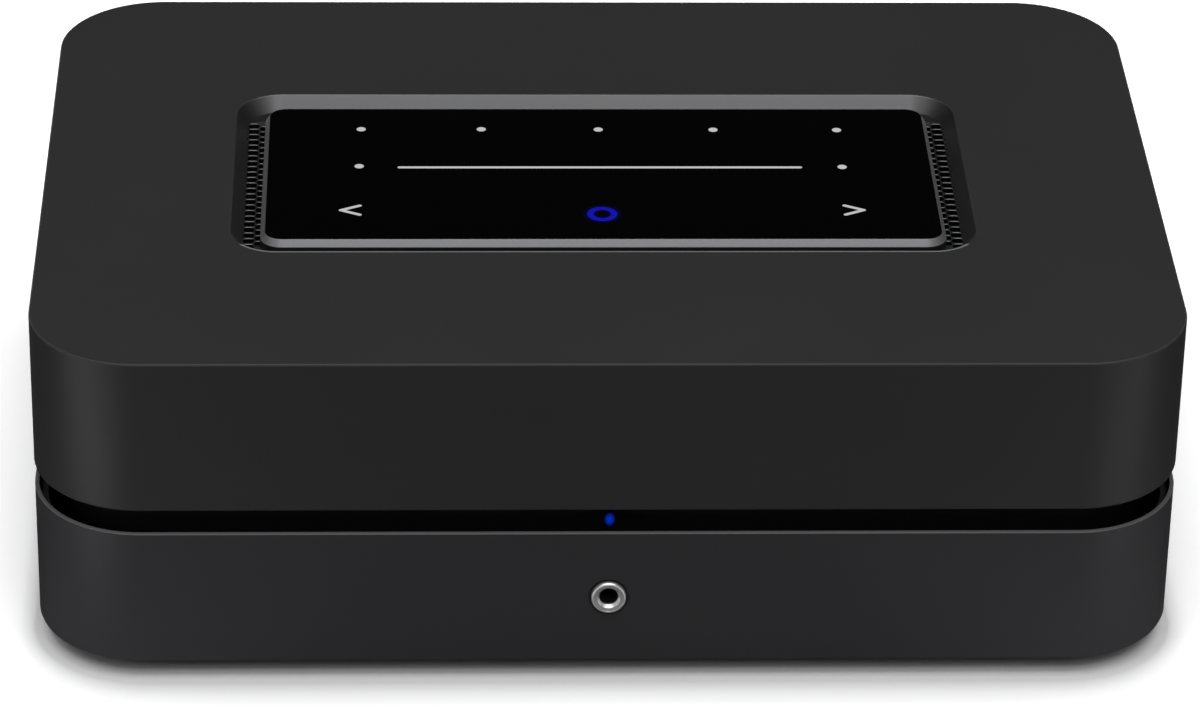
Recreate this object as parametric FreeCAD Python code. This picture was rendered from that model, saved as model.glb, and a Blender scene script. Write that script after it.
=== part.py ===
"""Streaming amplifier in two stacked tiers with a touch panel on top.

Millimetres. Origin at the centre of the footprint, on the surface that the feet stand on.
+X runs along the front to the right, +Y to the back and +Z up.
"""
import FreeCAD, Part
import math
import os

# Overall size, worked out from the photograph
body_width = 220.0
body_depth = 154.0
corner_radius = 21.0
foot_height = 4.2
lower_shell_height = 28.8
tier_gap = 5.0
upper_shell_height = 32.0

# Walls and edges of the two shells
shell_wall = 2.5
top_plate = 3.0
rim_wall = 1.3
rim_step_depth = 2.5
lip_thickness = 2.5
lip_reach = 22.0
top_edge_chamfer = 0.4
bottom_chamfer = 0.8

# Clearances used all over
seam = 0.3
thread_clearance = 0.02
hole_clearance = 0.15
slip = 0.1
running_clearance = 0.05

# Flat sides that stand for small round forms, so that the repeated pieces stay light
hole_sides = 8
head_sides = 12
post_sides = 16
round_sides = 24
foot_sides = 32

# Base plate, feet and the screws that clamp the tiers together
plate_thickness = 1.5
plate_overlap = 12.0
foot_radius = 9.0
foot_inset_x = 33.0
foot_inset_y = 29.0
foot_draft = 1.0
column_inset = 17.0
column_radius = 4.5
screw_radius = 1.5
screw_head_radius = 2.8
screw_head_height = 1.6
housing_screw_bite = 9.0
slot_length = 22.0
slot_width = 2.4
slot_pitch = 8.0
slot_count = 6
slot_row_centre = 38.0

# Core frame between the tiers
core_setback = 6.0
core_wall = 2.0
core_reach = 6.0
shelf_thickness = 2.0

# Well in the top, its tray and the perforated strips
well_width = 145.4
well_depth_y = 67.6
well_corner = 9.0
well_draft = 2.1
well_flare = 0.3
tray_thickness = 3.0
tray_margin_x = 11.0
tray_margin_y = 9.0
mesh_thickness = 0.8
mesh_under_frame = 1.7
mesh_under_top = 1.8
vent_hole_width = 1.8
vent_column_pitch = 2.3
vent_row_pitch = 2.32
vent_rows = 23
vent_columns = 2
vent_column_offset = 0.5
air_slot_margin = 1.0

# Touch panel
glass_width = 132.0
glass_length_y = 55.2
glass_thickness = 1.2
glass_corner = 3.2
glass_drop = 0.2
frame_wall = 0.9
bezel_land = 0.15
bezel_slope_height = 1.35
frame_ledge = 1.8
board_thickness = 1.6
glue_gap = 0.1
board_corner_gap = 1.0

# Status light in the gap between the tiers
light_width = 2.2
light_height = 3.2
light_nose_setback = 2.2
light_above_rim = 1.75
light_board_width = 14.0
light_board_height = 9.0

# Headphone socket in the front of the lower tier
jack_height = 18.7
jack_bore_radius = 1.8
jack_mouth_radius = 2.3
jack_mouth_depth = 0.7
jack_barrel_radius = 2.5
jack_ring_radius = 3.4
jack_ring_proud = 0.6
jack_ring_grip = 1.6
ring_rim_width = 0.2
jack_body_width = 11.0
jack_body_height = 8.0
jack_body_length = 13.0
jack_bore_depth = 14.5
jack_board_width = 20.0
jack_board_length = 17.0

# Rear bay and its panel
bay_depth = 20.0
bay_column_gap = 4.5
bay_top_margin = 9.3
panel_thickness = 2.0
bay_flange = 1.5
bay_end_setback = 0.5

# Speaker terminals
terminal_height = 24.0
terminal_pair_pitch = 19.0
terminal_group_pitch = 40.5
terminal_side_margin = 40.5
terminal_base_thickness = 2.5
terminal_base_height = 18.0
terminal_base_margin = 7.5
post_radius = 3.0
post_bore_radius = 2.0
post_bore_length = 11.5
post_end_setback = 0.6
post_tail = 7.0
washer_thickness = 1.2
washer_radius = 4.8
cap_radius = 5.5
cap_end_setback = 0.5
cap_grooves = 10
cap_groove_width = 1.3
cap_groove_depth = 0.8
post_thread_pitch = 1.0
cap_turns = 3.5
nut_width = 8.0
nut_thickness = 2.4

# Sockets in the rear panel
inlet_side_margin = 24.0
inlet_height = 24.0
inlet_lobe_radius = 4.2
inlet_lobe_pitch = 8.2
inlet_waist_height = 7.1
inlet_depth = 13.0
inlet_body_width = 22.0
inlet_body_height = 15.0
inlet_body_length = 16.0
inlet_flange_margin = 2.5
inlet_pin_radius = 1.15
inlet_pin_length = 10.0
socket_proud = 0.6
socket_wall = 1.0
ethernet_width = 16.0
ethernet_height = 13.4
ethernet_length = 18.0
ethernet_mouth_width = 11.8
ethernet_mouth_height = 8.0
ethernet_mouth_depth = 14.0
ethernet_latch_width = 6.0
ethernet_latch_height = 1.8
usb_width = 14.4
usb_height = 7.0
usb_length = 14.0
usb_shell = 0.6
usb_depth = 9.5
usb_tongue_width = 11.4
usb_tongue_thickness = 1.8
hdmi_width = 15.0
hdmi_height = 6.0
hdmi_length = 12.0
hdmi_shell = 0.5
hdmi_bevel = 1.6
hdmi_depth = 7.5
hdmi_tongue_width = 11.0
hdmi_tongue_thickness = 1.2
audio_in_spacing = 20.0
hdmi_spacing = 22.0
usb_spacing = 24.0
ethernet_spacing = 26.0
audio_in_width = 9.0
audio_in_height = 8.0
audio_in_length = 15.0
audio_in_collar_radius = 3.2
audio_in_bore_radius = 1.8
audio_in_bore_depth = 14.0
sub_out_side_margin = 18.0
sub_out_width = 10.0
sub_out_height = 11.0
sub_out_length = 9.0
sub_out_sleeve_radius = 4.15
sub_out_sleeve_length = 8.5
sub_out_socket_radius = 3.4
sub_out_pin_hole_radius = 1.6
sub_out_core_setback = 1.0

# Inner plates and boards
mid_plate_thickness = 1.2
mid_plate_lap = 4.0
mid_slot_length = 30.0
mid_slot_count = 5
mid_slot_pitch = 10.0
main_standoff = 4.0
main_standoff_setback = 22.5
main_board_left_margin = 22.0
main_board_right_margin = 4.0
main_board_front_margin = 47.0
low_standoff = 6.0
standoff_width = 5.5
board_edge_gap = 2.5
board_split = 4.0
board_corner_inset = 4.5
low_board_front_margin = 28.0

# Parts on the boards
chip_sink_width = 26.0
chip_sink_height = 9.0
chip_sink_base = 1.8
chip_sink_fins = 7
chip_sink_fin_wall = 1.2
chip_sink_x = 10.0
chip_sink_setback = 40.0
processor_thickness = 1.6
module_width = 24.0
module_length = 30.0
module_height = 3.2
module_can_length = 22.5
module_margin = 20.0
module_setback = 22.0
antenna_height = 20.0
antenna_length = 34.0
antenna_thickness = 0.8
antenna_y = 5.0
ribbon_width = 14.0
ribbon_thickness = 0.5
ribbon_bend = 4.0
ribbon_x = 24.0
ribbon_setback = 12.0
ribbon_run = 14.0
header_height = 3.0
header_length = 6.0
transformer_width = 34.0
transformer_length = 30.0
transformer_height = 19.0
transformer_margin = 45.5
transformer_setback = 51.0
transformer_leg = 7.0
winding_clearance = 0.4
winding_bulge = 3.0
capacitor_radius = 8.0
capacitor_height = 19.0
capacitor_margin = 17.5
capacitor_setback = 19.0
capacitor_pitch = 18.5
capacitor_count = 3
choke_radius = 8.0
choke_hole = 3.5
choke_width = 9.0
choke_margin = 15.5
choke_setback = 67.0
sink_width = 46.0
sink_length = 40.0
sink_base = 4.0
sink_height = 18.0
sink_fins = 9
sink_fin_wall = 1.4
sink_margin = 42.0
sink_setback = 31.0
amplifier_chip_thickness = 1.2
inductor_width = 12.5
inductor_height = 10.0
inductor_pitch = 16.5
inductor_count = 4
inductor_setback = 75.0
inductor_corner = 1.5

# Levels and faces worked out from the sizes above
half_width = body_width / 2
half_depth = body_depth / 2
z_base = foot_height
z_plate_top = z_base + plate_thickness
z_lip_top = z_plate_top + lip_thickness
z_lower_top = z_base + lower_shell_height
z_upper_bottom = z_lower_top + tier_gap
z_top = z_upper_bottom + upper_shell_height
z_top_under = z_top - top_plate
z_core_bottom = z_lower_top - core_reach
z_core_top = z_upper_bottom + core_reach
z_shelf_top = (z_lower_top + z_upper_bottom + shelf_thickness) / 2
z_mid_top = z_shelf_top + mid_plate_thickness
z_main_bottom = z_mid_top + main_standoff
z_main_top = z_main_bottom + board_thickness
z_low_board = z_plate_top + low_standoff
z_low_top = z_low_board + board_thickness
z_tray_bottom = z_top_under - tray_thickness
z_glass_top = z_top - glass_drop
z_glass_bottom = z_glass_top - glass_thickness
window_half_x = half_width - lip_reach
window_half_y = half_depth - lip_reach
y_panel = half_depth - bay_depth
y_panel_inner = y_panel - panel_thickness
z_bay_top = z_top - bay_top_margin
column_x = half_width - column_inset
column_y = half_depth - column_inset
corners = [(sx, sy) for sx in (-1, 1) for sy in (-1, 1)]

# Places worked out from the edges that they are measured from
bay_half_width = column_x - column_radius - bay_column_gap
terminal_centre_x = bay_half_width - terminal_side_margin
inlet_x = inlet_side_margin - bay_half_width
sub_out_x = bay_half_width - sub_out_side_margin
audio_in_x = sub_out_x - audio_in_spacing
hdmi_x = audio_in_x - hdmi_spacing
usb_x = hdmi_x - usb_spacing
ethernet_x = usb_x - ethernet_spacing
main_board_left = main_board_left_margin - bay_half_width
main_board_right = bay_half_width - main_board_right_margin
main_board_front = main_board_front_margin - half_depth
chip_sink_y = main_board_front + chip_sink_setback
module_x = main_board_left + module_margin
module_y = main_board_front + module_setback
ribbon_y = main_board_front + ribbon_setback
low_board_front = low_board_front_margin - half_depth
low_board_half = window_half_x - board_edge_gap
low_board_inner = board_split / 2
transformer_x = transformer_margin - low_board_half
transformer_y = low_board_front + transformer_setback
capacitor_x = capacitor_margin - low_board_half
capacitor_y = low_board_front + capacitor_setback
choke_x = choke_margin - low_board_half
choke_y = low_board_front + choke_setback
sink_x = low_board_inner + sink_margin
sink_y = low_board_front + sink_setback
inductor_y = low_board_front + inductor_setback


def box(x0, x1, y0, y1, z0, z1):
    """A block between two values on each axis."""
    return Part.makeBox(x1 - x0, y1 - y0, z1 - z0, FreeCAD.Vector(x0, y0, z0))


def rod_y(radius, x, z, y0, y1):
    return Part.makeCylinder(radius, y1 - y0, FreeCAD.Vector(x, y0, z), FreeCAD.Vector(0, 1, 0))


x_way = FreeCAD.Vector(1, 0, 0)
y_way = FreeCAD.Vector(0, 1, 0)
z_way = FreeCAD.Vector(0, 0, 1)


def ring_points(radius, sides, centre, u, v):
    """The corners of a regular polygon; u and v span its plane."""
    angles = [2 * math.pi * (i + 0.5) / sides for i in range(sides)]
    return [centre + u * (radius * math.cos(a)) + v * (radius * math.sin(a)) for a in angles]


def faceted(radius0, radius1, sides, start, end, u, v):
    """A many-sided block from one polygon to another, all of its faces flat."""
    low = ring_points(radius0, sides, start, u, v)
    high = ring_points(radius1, sides, end, u, v)
    faces = [Part.Face(Part.makePolygon(ring + ring[:1])) for ring in (low, high)]
    for i in range(sides):
        j = (i + 1) % sides
        faces.append(Part.Face(Part.makePolygon([low[i], low[j], high[j], high[i], low[i]])))
    block = Part.makeSolid(Part.makeShell(faces))
    if block.Volume < 0:
        block.reverse()
    return block


def faceted_z(radius, sides, x, y, z0, z1, radius1=None):
    return faceted(radius, radius if radius1 is None else radius1, sides,
                   FreeCAD.Vector(x, y, z0), FreeCAD.Vector(x, y, z1), x_way, y_way)


def faceted_y(radius, sides, x, z, y0, y1, radius1=None):
    return faceted(radius, radius if radius1 is None else radius1, sides,
                   FreeCAD.Vector(x, y0, z), FreeCAD.Vector(x, y1, z), x_way, z_way)


def hole_z(radius, x, y, z0, z1, sides=hole_sides):
    """A hole whose flats touch the stated radius."""
    return faceted_z(radius / math.cos(math.pi / sides), sides, x, y, z0, z1)


def hole_y(radius, x, z, y0, y1, sides=round_sides):
    return faceted_y(radius / math.cos(math.pi / sides), sides, x, z, y0, y1)


def rounded_outline(half_x, half_y, radius, z):
    """A closed wire: a rectangle with round corners, at one level."""
    radius = max(min(radius, half_x * 0.98, half_y * 0.98), 0.05)
    straight_x = half_x - radius
    straight_y = half_y - radius
    diagonal = radius / math.sqrt(2)
    edges = []
    last = FreeCAD.Vector(straight_x, -half_y, z)
    first = FreeCAD.Vector(-straight_x, -half_y, z)
    edges.append(Part.makeLine(first, last))
    for sx, sy in ((1, -1), (1, 1), (-1, 1), (-1, -1)):
        middle = FreeCAD.Vector(sx * (straight_x + diagonal), sy * (straight_y + diagonal), z)
        turns_up = sx == -sy
        if turns_up:
            start = FreeCAD.Vector(sx * straight_x, sy * half_y, z)
            end = FreeCAD.Vector(sx * half_x, sy * straight_y, z)
        else:
            start = FreeCAD.Vector(sx * half_x, sy * straight_y, z)
            end = FreeCAD.Vector(sx * straight_x, sy * half_y, z)
        if (start - last).Length > 1e-6:
            edges.append(Part.makeLine(last, start))
        edges.append(Part.Arc(start, middle, end).toShape())
        last = end
    return Part.Wire(edges)


def rounded_block(half_x, half_y, radius, z0, z1):
    """A block with round upright corners, centred on the origin in plan."""
    face = Part.Face(rounded_outline(half_x, half_y, radius, z0))
    return face.extrude(FreeCAD.Vector(0, 0, z1 - z0))


def body_block(inset, z0, z1):
    """The plan outline of the whole amplifier, drawn in by an inset."""
    return rounded_block(half_width - inset, half_depth - inset, corner_radius - inset, z0, z1)


def tapered_block(bottom, top, z0, z1):
    """A block whose outline changes evenly from bottom to top: each is half x, half y, radius."""
    wires = [rounded_outline(*bottom, z0), rounded_outline(*top, z1)]
    return Part.makeLoft(wires, True, True)


def fuse(shapes):
    whole = shapes[0].multiFuse(shapes[1:]) if len(shapes) > 1 else shapes[0]
    return whole.removeSplitter()


def cut(shape, tools):
    return shape.cut(tools) if tools else shape


def edges_at(shape, z, test):
    """Edges that lie flat at one level and pass the test on their middle point."""
    found = []
    for edge in shape.Edges:
        bounds = edge.BoundBox
        flat = abs(bounds.ZMin - z) < 1e-4 and abs(bounds.ZMax - z) < 1e-4
        if flat and test(edge.CenterOfMass):
            found.append(edge)
    return found


# The two shells
def well_cutter():
    """The tapered opening in the top, with a small flare where it meets the surface."""
    half_x = well_width / 2
    half_y = well_depth_y / 2
    z_flare = z_top - well_flare
    share = (z_flare - z_top_under) / top_plate
    foot = (half_x - well_draft, half_y - well_draft, well_corner - well_draft)
    run = well_draft * share
    brow = (foot[0] + run - well_flare, foot[1] + run - well_flare, foot[2] + run - well_flare)
    rim = (half_x, half_y, well_corner)
    slope = tapered_block(foot, brow, z_top_under, z_flare)
    flare = tapered_block(brow, rim, z_flare, z_top)
    return slope, flare


def bay_window(z0, z1):
    """The hole that the rear panel leaves in a shell's back wall."""
    x = bay_half_width + seam
    return box(-x, x, half_depth - lip_reach, half_depth + shell_wall, z0, z1)


def make_upper_shell():
    shell = body_block(0, z_upper_bottom, z_top)
    rim = edges_at(shell, z_top, lambda p: True)
    shell = shell.makeChamfer(top_edge_chamfer, rim)
    columns = [faceted_z(column_radius, hole_sides, sx * column_x, sy * column_y, z_core_top,
                         z_top_under) for sx, sy in corners]
    shell = fuse([shell.cut(body_block(shell_wall, z_upper_bottom, z_top_under))] + columns)
    tools = list(well_cutter())
    tools.append(bay_window(z_upper_bottom, z_bay_top + seam))
    for sx, sy in corners:
        tools.append(hole_z(screw_radius + thread_clearance, sx * column_x, sy * column_y,
                            z_core_top, z_core_top + housing_screw_bite + seam))
    return cut(shell, tools)


def make_lower_shell():
    shell = body_block(0, z_base, z_lower_top)
    foot_edge = edges_at(shell, z_base, lambda p: True)
    shell = shell.makeChamfer(bottom_chamfer, foot_edge)
    shell = shell.cut([
        body_block(shell_wall, z_lip_top, z_lower_top),
        body_block(rim_wall, z_lower_top - rim_step_depth, z_lower_top),
        box(-window_half_x, window_half_x, -window_half_y, window_half_y, z_base, z_lip_top),
        rounded_block(plate_half_x + seam, plate_half_y + seam, plate_corner + seam,
                      z_base, z_plate_top)])
    added = [faceted_z(column_radius, hole_sides, sx * column_x, sy * column_y, z_lip_top,
                       z_core_bottom) for sx, sy in corners]
    for side in (-1, 1):
        x = side * jack_post_x
        added.append(faceted_z(standoff_width / 2, hole_sides, x, jack_post_y, z_lip_top,
                               z_jack_board))
    shell = fuse([shell] + added)
    tools = [bay_window(z_lip_top, z_lower_top)]
    for sx, sy in corners:
        tools.append(hole_z(screw_radius + hole_clearance, sx * column_x, sy * column_y,
                            z_plate_top, z_core_bottom))
    tools.append(hole_y(jack_barrel_radius + slip, 0, jack_height, -half_depth, y_jack_face))
    tools.append(hole_y(jack_ring_radius + slip, 0, jack_height, -half_depth, y_ring_seat))
    return cut(shell, tools)


# Sizes shared by the base plate, the lower shell and the feet
plate_half_x = window_half_x + plate_overlap
plate_half_y = window_half_y + plate_overlap
plate_corner = corner_radius - lip_reach + plate_overlap
foot_x = half_width - foot_inset_x
foot_y = half_depth - foot_inset_y


def make_base_plate():
    plate = rounded_block(plate_half_x, plate_half_y, plate_corner, z_base, z_plate_top)
    tools = []
    for sx, sy in corners:
        tools.append(hole_z(screw_radius + hole_clearance, sx * column_x, sy * column_y,
                            z_base, z_plate_top))
    for row in (-1, 1):
        for i in range(slot_count):
            x = (i - (slot_count - 1) / 2) * slot_pitch + row * slot_row_centre
            tools.append(box(x - slot_width / 2, x + slot_width / 2,
                             -slot_length / 2, slot_length / 2, z_base, z_plate_top))
    return cut(plate, tools)


def make_foot(sx, sy):
    """Rubber foot that widens upwards."""
    return faceted_z(foot_radius - foot_draft, foot_sides, sx * foot_x, sy * foot_y, 0, z_base,
                     foot_radius)


def make_housing_screws():
    """Four long pan-head screws that reach through the lower tier and the core frame."""
    screws = []
    for sx, sy in corners:
        x, y = sx * column_x, sy * column_y
        head = faceted_z(screw_head_radius, head_sides, x, y, z_base - screw_head_height, z_base)
        shank = faceted_z(screw_radius, hole_sides, x, y, z_base,
                          z_core_top + housing_screw_bite)
        screws.append(fuse([head, shank]))
    return screws


# Core frame, seen as the black band between the tiers
light_z = z_lower_top + light_above_rim
y_band = -half_depth + core_setback
y_band_inner = y_band + core_wall


def light_bar(grow, y0, y1):
    """An upright oval bar along Y, with half-round ends."""
    radius = light_width / 2 + grow
    half_flat = (light_height - light_width) / 2
    points = []
    for end in (1, -1):
        for i in range(hole_sides + 1):
            angle = math.pi * i / hole_sides
            points.append(FreeCAD.Vector(end * radius * math.cos(angle), y0,
                                         light_z + end * (half_flat + radius * math.sin(angle))))
    return Part.Face(Part.makePolygon(points + points[:1])).extrude(y_way * (y1 - y0))


def make_core_frame():
    """Band, shelf inside it and the four lugs that the screws pass through."""
    band = body_block(core_setback, z_core_bottom, z_core_top)
    hollow = body_block(core_setback + core_wall, z_core_bottom, z_core_top)
    shelf = body_block(core_setback, z_shelf_top - shelf_thickness, z_shelf_top)
    opening = box(-window_half_x, window_half_x, -window_half_y, window_half_y,
                  z_core_bottom, z_core_top)
    lugs = [faceted_z(column_radius, hole_sides, sx * column_x, sy * column_y, z_core_bottom,
                      z_core_top) for sx, sy in corners]
    frame = fuse([band.cut(hollow), shelf.cut(opening)] + lugs)
    light_space = light_board_width / 2 + 1
    tools = [box(-bay_half_width - seam, bay_half_width + seam, window_half_y - seam,
                 half_depth, z_core_bottom, z_core_top),
             box(-light_space, light_space, y_band_inner, -window_half_y,
                 z_shelf_top - shelf_thickness, z_shelf_top),
             light_bar(slip, y_band, y_band_inner)]
    tools += [hole_z(screw_radius + hole_clearance, sx * column_x, sy * column_y,
                     z_core_bottom, z_core_top) for sx, sy in corners]
    return cut(frame, tools)


def make_status_light_pipe():
    return light_bar(0, -half_depth + light_nose_setback, y_band_inner)


def make_status_light_board():
    half = light_board_width / 2
    return box(-half, half, y_band_inner, y_band_inner + board_thickness,
               light_z - light_board_height / 2, light_z + light_board_height / 2)


# Touch panel, tray and perforated strips in the well
glass_half_x = glass_width / 2
glass_half_y = glass_length_y / 2
frame_half_x = glass_half_x + slip + frame_wall
frame_half_y = glass_half_y + slip + frame_wall
frame_corner = glass_corner + slip + frame_wall
touch_half_x = glass_half_x - frame_ledge - board_corner_gap
touch_half_y = glass_half_y - frame_ledge - board_corner_gap
tray_half_x = well_width / 2 + tray_margin_x
tray_half_y = well_depth_y / 2 + tray_margin_y
mesh_inner = frame_half_x - mesh_under_frame
mesh_outer = well_width / 2 - well_draft + mesh_under_top
mesh_half_y = vent_rows * vent_row_pitch / 2 + air_slot_margin
vent_column_x = (frame_half_x + well_width / 2 - well_draft) / 2 + vent_column_offset


def make_glass_frame():
    """The bezel: its outer face slopes in towards the glass, down to a narrow flat land."""
    draw_in = frame_wall - bezel_land
    z_slope = z_glass_top - bezel_slope_height
    foot = (frame_half_x, frame_half_y, frame_corner)
    crest = tuple(size - draw_in for size in foot)
    outer = fuse([rounded_block(*foot, z_top_under, z_slope),
                  tapered_block(foot, crest, z_slope, z_glass_top)])
    seat = rounded_block(glass_half_x + slip, glass_half_y + slip, glass_corner + slip,
                         z_glass_bottom, z_glass_top)
    window_x = glass_half_x - frame_ledge
    window_y = glass_half_y - frame_ledge
    window = box(-window_x, window_x, -window_y, window_y, z_top_under, z_glass_bottom)
    return outer.cut([seat, window])


def make_touch_glass():
    return rounded_block(glass_half_x, glass_half_y, glass_corner, z_glass_bottom, z_glass_top)


def make_touch_board():
    return box(-touch_half_x, touch_half_x, -touch_half_y, touch_half_y, z_top_under,
               z_glass_bottom - glue_gap)


def make_panel_tray():
    tray = box(-tray_half_x, tray_half_x, -tray_half_y, tray_half_y, z_tray_bottom, z_top_under)
    tools = []
    for side in (-1, 1):
        inner = side * (mesh_inner - slip)
        outer = side * (mesh_outer + slip)
        low, high = min(inner, outer), max(inner, outer)
        tools.append(box(low, high, -mesh_half_y - slip, mesh_half_y + slip,
                         z_top_under - mesh_thickness, z_top_under))
        tools.append(box(low + air_slot_margin, high - air_slot_margin,
                         -mesh_half_y + air_slot_margin, mesh_half_y - air_slot_margin,
                         z_tray_bottom, z_top_under))
    tools.append(box(ribbon_x - ribbon_thickness / 2 - seam, ribbon_x + ribbon_thickness / 2 + seam,
                     ribbon_y - ribbon_width / 2 - seam, ribbon_y + ribbon_width / 2 + seam,
                     z_tray_bottom, z_top_under))
    return cut(tray, tools)


def hexagon(x, y, width, z0, z1):
    """A six-sided hole cutter, two of its flats square to Y."""
    corner = width / math.sqrt(3)
    points = [FreeCAD.Vector(x + corner * math.cos(math.radians(60 * i)),
                             y + corner * math.sin(math.radians(60 * i)), z0) for i in range(7)]
    return Part.Face(Part.makePolygon(points)).extrude(FreeCAD.Vector(0, 0, z1 - z0))


def make_vent_mesh(side):
    """A perforated strip: columns of holes, every other one shifted by half a pitch."""
    z0 = z_top_under - mesh_thickness
    low, high = sorted((side * mesh_inner, side * mesh_outer))
    sheet = box(low, high, -mesh_half_y, mesh_half_y, z0, z_top_under)
    holes = []
    for column in range(vent_columns):
        x = side * (vent_column_x - column * vent_column_pitch)
        rows = vent_rows - column % 2
        for row in range(rows):
            y = (row - (rows - 1) / 2) * vent_row_pitch
            holes.append(hexagon(x, y, vent_hole_width, z0, z_top_under))
    return sheet.cut(Part.makeCompound(holes))


# Headphone socket
y_jack_face = -half_depth + shell_wall
y_ring_seat = -half_depth + jack_ring_grip
z_jack_board = jack_height - jack_body_height / 2 - board_thickness
jack_post_x = jack_board_width / 2 - standoff_width / 2
jack_post_y = y_jack_face + slip + jack_board_length - standoff_width / 2


def make_headphone_jack():
    """Barrel through the front wall and the body behind it, one bore with a countersunk mouth."""
    half = jack_body_width / 2
    body = box(-half, half, y_jack_face, y_jack_face + jack_body_length,
               jack_height - jack_body_height / 2, jack_height + jack_body_height / 2)
    barrel = faceted_y(jack_barrel_radius, round_sides, 0, jack_height, -half_depth,
                       y_jack_face + 1)
    bore = rod_y(jack_bore_radius, 0, jack_height, -half_depth, -half_depth + jack_bore_depth)
    mouth = faceted_y(jack_mouth_radius, round_sides, 0, jack_height, -half_depth,
                      -half_depth + jack_mouth_depth, jack_bore_radius)
    return fuse([body, barrel]).cut([bore, mouth])


def make_headphone_ring():
    """Polished trim ring around the barrel: a bevelled rim and a dished face."""
    front = -half_depth - jack_ring_proud
    bevel = jack_ring_proud / 2
    rim_radius = jack_ring_radius - bevel
    rim = faceted_y(rim_radius, round_sides, 0, jack_height, front, front + bevel,
                    jack_ring_radius)
    ring = faceted_y(jack_ring_radius, round_sides, 0, jack_height, front + bevel, y_ring_seat)
    hole = hole_y(jack_barrel_radius + running_clearance, 0, jack_height, front, y_ring_seat)
    dish = faceted_y(rim_radius - ring_rim_width, round_sides, 0, jack_height, front,
                     front + jack_ring_proud, jack_barrel_radius)
    return fuse([rim, ring]).cut([hole, dish])


def make_headphone_board():
    half = jack_board_width / 2
    y0 = y_jack_face + slip
    return box(-half, half, y0, y0 + jack_board_length, z_jack_board,
               z_jack_board + board_thickness)


# Rear panel: a tray pushed into the back of both tiers
def make_rear_panel():
    outer = box(-bay_half_width, bay_half_width, y_panel_inner, half_depth - bay_end_setback,
                z_lip_top, z_bay_top)
    inner = box(-bay_half_width + bay_flange, bay_half_width - bay_flange, y_panel, half_depth,
                z_lip_top + bay_flange, z_bay_top - bay_flange)
    tools = [inner]
    for x in terminal_places():
        tools.append(hole_y(post_radius + hole_clearance, x, terminal_height,
                            y_panel_inner, y_panel, hole_sides))
    for width, height, x, z in socket_cutouts():
        tools.append(box(x - width / 2 - slip, x + width / 2 + slip, y_panel_inner, y_panel,
                         z - height / 2 - slip, z + height / 2 + slip))
    return outer.cut(tools)


def board_socket_height(height):
    """Centre height of a socket that stands on the main board."""
    return z_main_top + height / 2


def socket_cutouts():
    """Width, height and centre of each rectangular hole in the rear panel."""
    return [(inlet_body_width, inlet_body_height, inlet_x, inlet_height),
            (ethernet_width, ethernet_height, ethernet_x, board_socket_height(ethernet_height)),
            (usb_width, usb_height, usb_x, board_socket_height(usb_height)),
            (hdmi_width, hdmi_height, hdmi_x, board_socket_height(hdmi_height)),
            (audio_in_width, audio_in_height, audio_in_x, board_socket_height(audio_in_height)),
            (sub_out_width, sub_out_height, sub_out_x, board_socket_height(sub_out_height))]


# Speaker terminals
def terminal_places():
    """X of the four posts: two pairs, each at the standard plug spacing."""
    return [terminal_centre_x + group * terminal_group_pitch / 2 + post * terminal_pair_pitch / 2
            for group in (-1, 1) for post in (-1, 1)]


y_base_face = y_panel + terminal_base_thickness
y_washer = y_base_face + slip
y_cap = y_washer + washer_thickness + slip
y_cap_end = half_depth - post_end_setback - cap_end_setback
y_post_end = half_depth - post_end_setback
cap_travel = cap_turns * post_thread_pitch


def make_terminal_base():
    places = terminal_places()
    z0 = terminal_height - terminal_base_height / 2
    z1 = terminal_height + terminal_base_height / 2
    plate = box(places[0] - terminal_base_margin, places[-1] + terminal_base_margin,
                y_panel, y_base_face, z0, z1)
    corner_edges = [e for e in plate.Edges if e.BoundBox.YLength > terminal_base_thickness / 2]
    plate = plate.makeChamfer(terminal_base_thickness, corner_edges)
    return plate.cut([hole_y(post_radius + hole_clearance, x, terminal_height,
                             y_panel, y_base_face, hole_sides) for x in places])


def make_terminal_posts():
    """Posts with a bore in the end for a plug."""
    posts = []
    for x in terminal_places():
        post = faceted_y(post_radius, post_sides, x, terminal_height,
                         y_panel_inner - post_tail, y_post_end)
        bore = rod_y(post_bore_radius, x, terminal_height, y_post_end - post_bore_length,
                     y_post_end)
        posts.append(post.cut(bore))
    return posts


def make_post_nuts():
    nuts = []
    for x in terminal_places():
        y0 = y_panel_inner - nut_thickness
        nut = faceted_y(nut_width / math.sqrt(3), 6, x, terminal_height, y0, y_panel_inner)
        nuts.append(nut.cut(hole_y(post_radius + thread_clearance, x, terminal_height, y0,
                                   y_panel_inner, hole_sides)))
    return nuts


def make_washer(x):
    """Clamp washer that slides on the post and doesn't turn with the cap."""
    y1 = y_washer + washer_thickness
    disc = faceted_y(washer_radius, round_sides, x, terminal_height, y_washer, y1)
    return disc.cut(hole_y(post_radius + running_clearance, x, terminal_height, y_washer, y1,
                           head_sides))


def make_terminal_cap(x):
    """Cap that screws along the post, with V grooves for the grip."""
    points = []
    step = 2 * math.pi / cap_grooves
    half_groove = cap_groove_width / 2 / cap_radius
    for i in range(cap_grooves):
        middle = i * step
        for angle, radius in ((middle - half_groove, cap_radius),
                              (middle, cap_radius - cap_groove_depth),
                              (middle + half_groove, cap_radius)):
            points.append(FreeCAD.Vector(x + radius * math.cos(angle), y_cap,
                                         terminal_height + radius * math.sin(angle)))
    grip = Part.Face(Part.makePolygon(points + points[:1])).extrude(y_way * (y_cap_end - y_cap))
    return grip.cut(hole_y(post_radius + running_clearance, x, terminal_height, y_cap,
                           y_cap_end))


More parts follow.
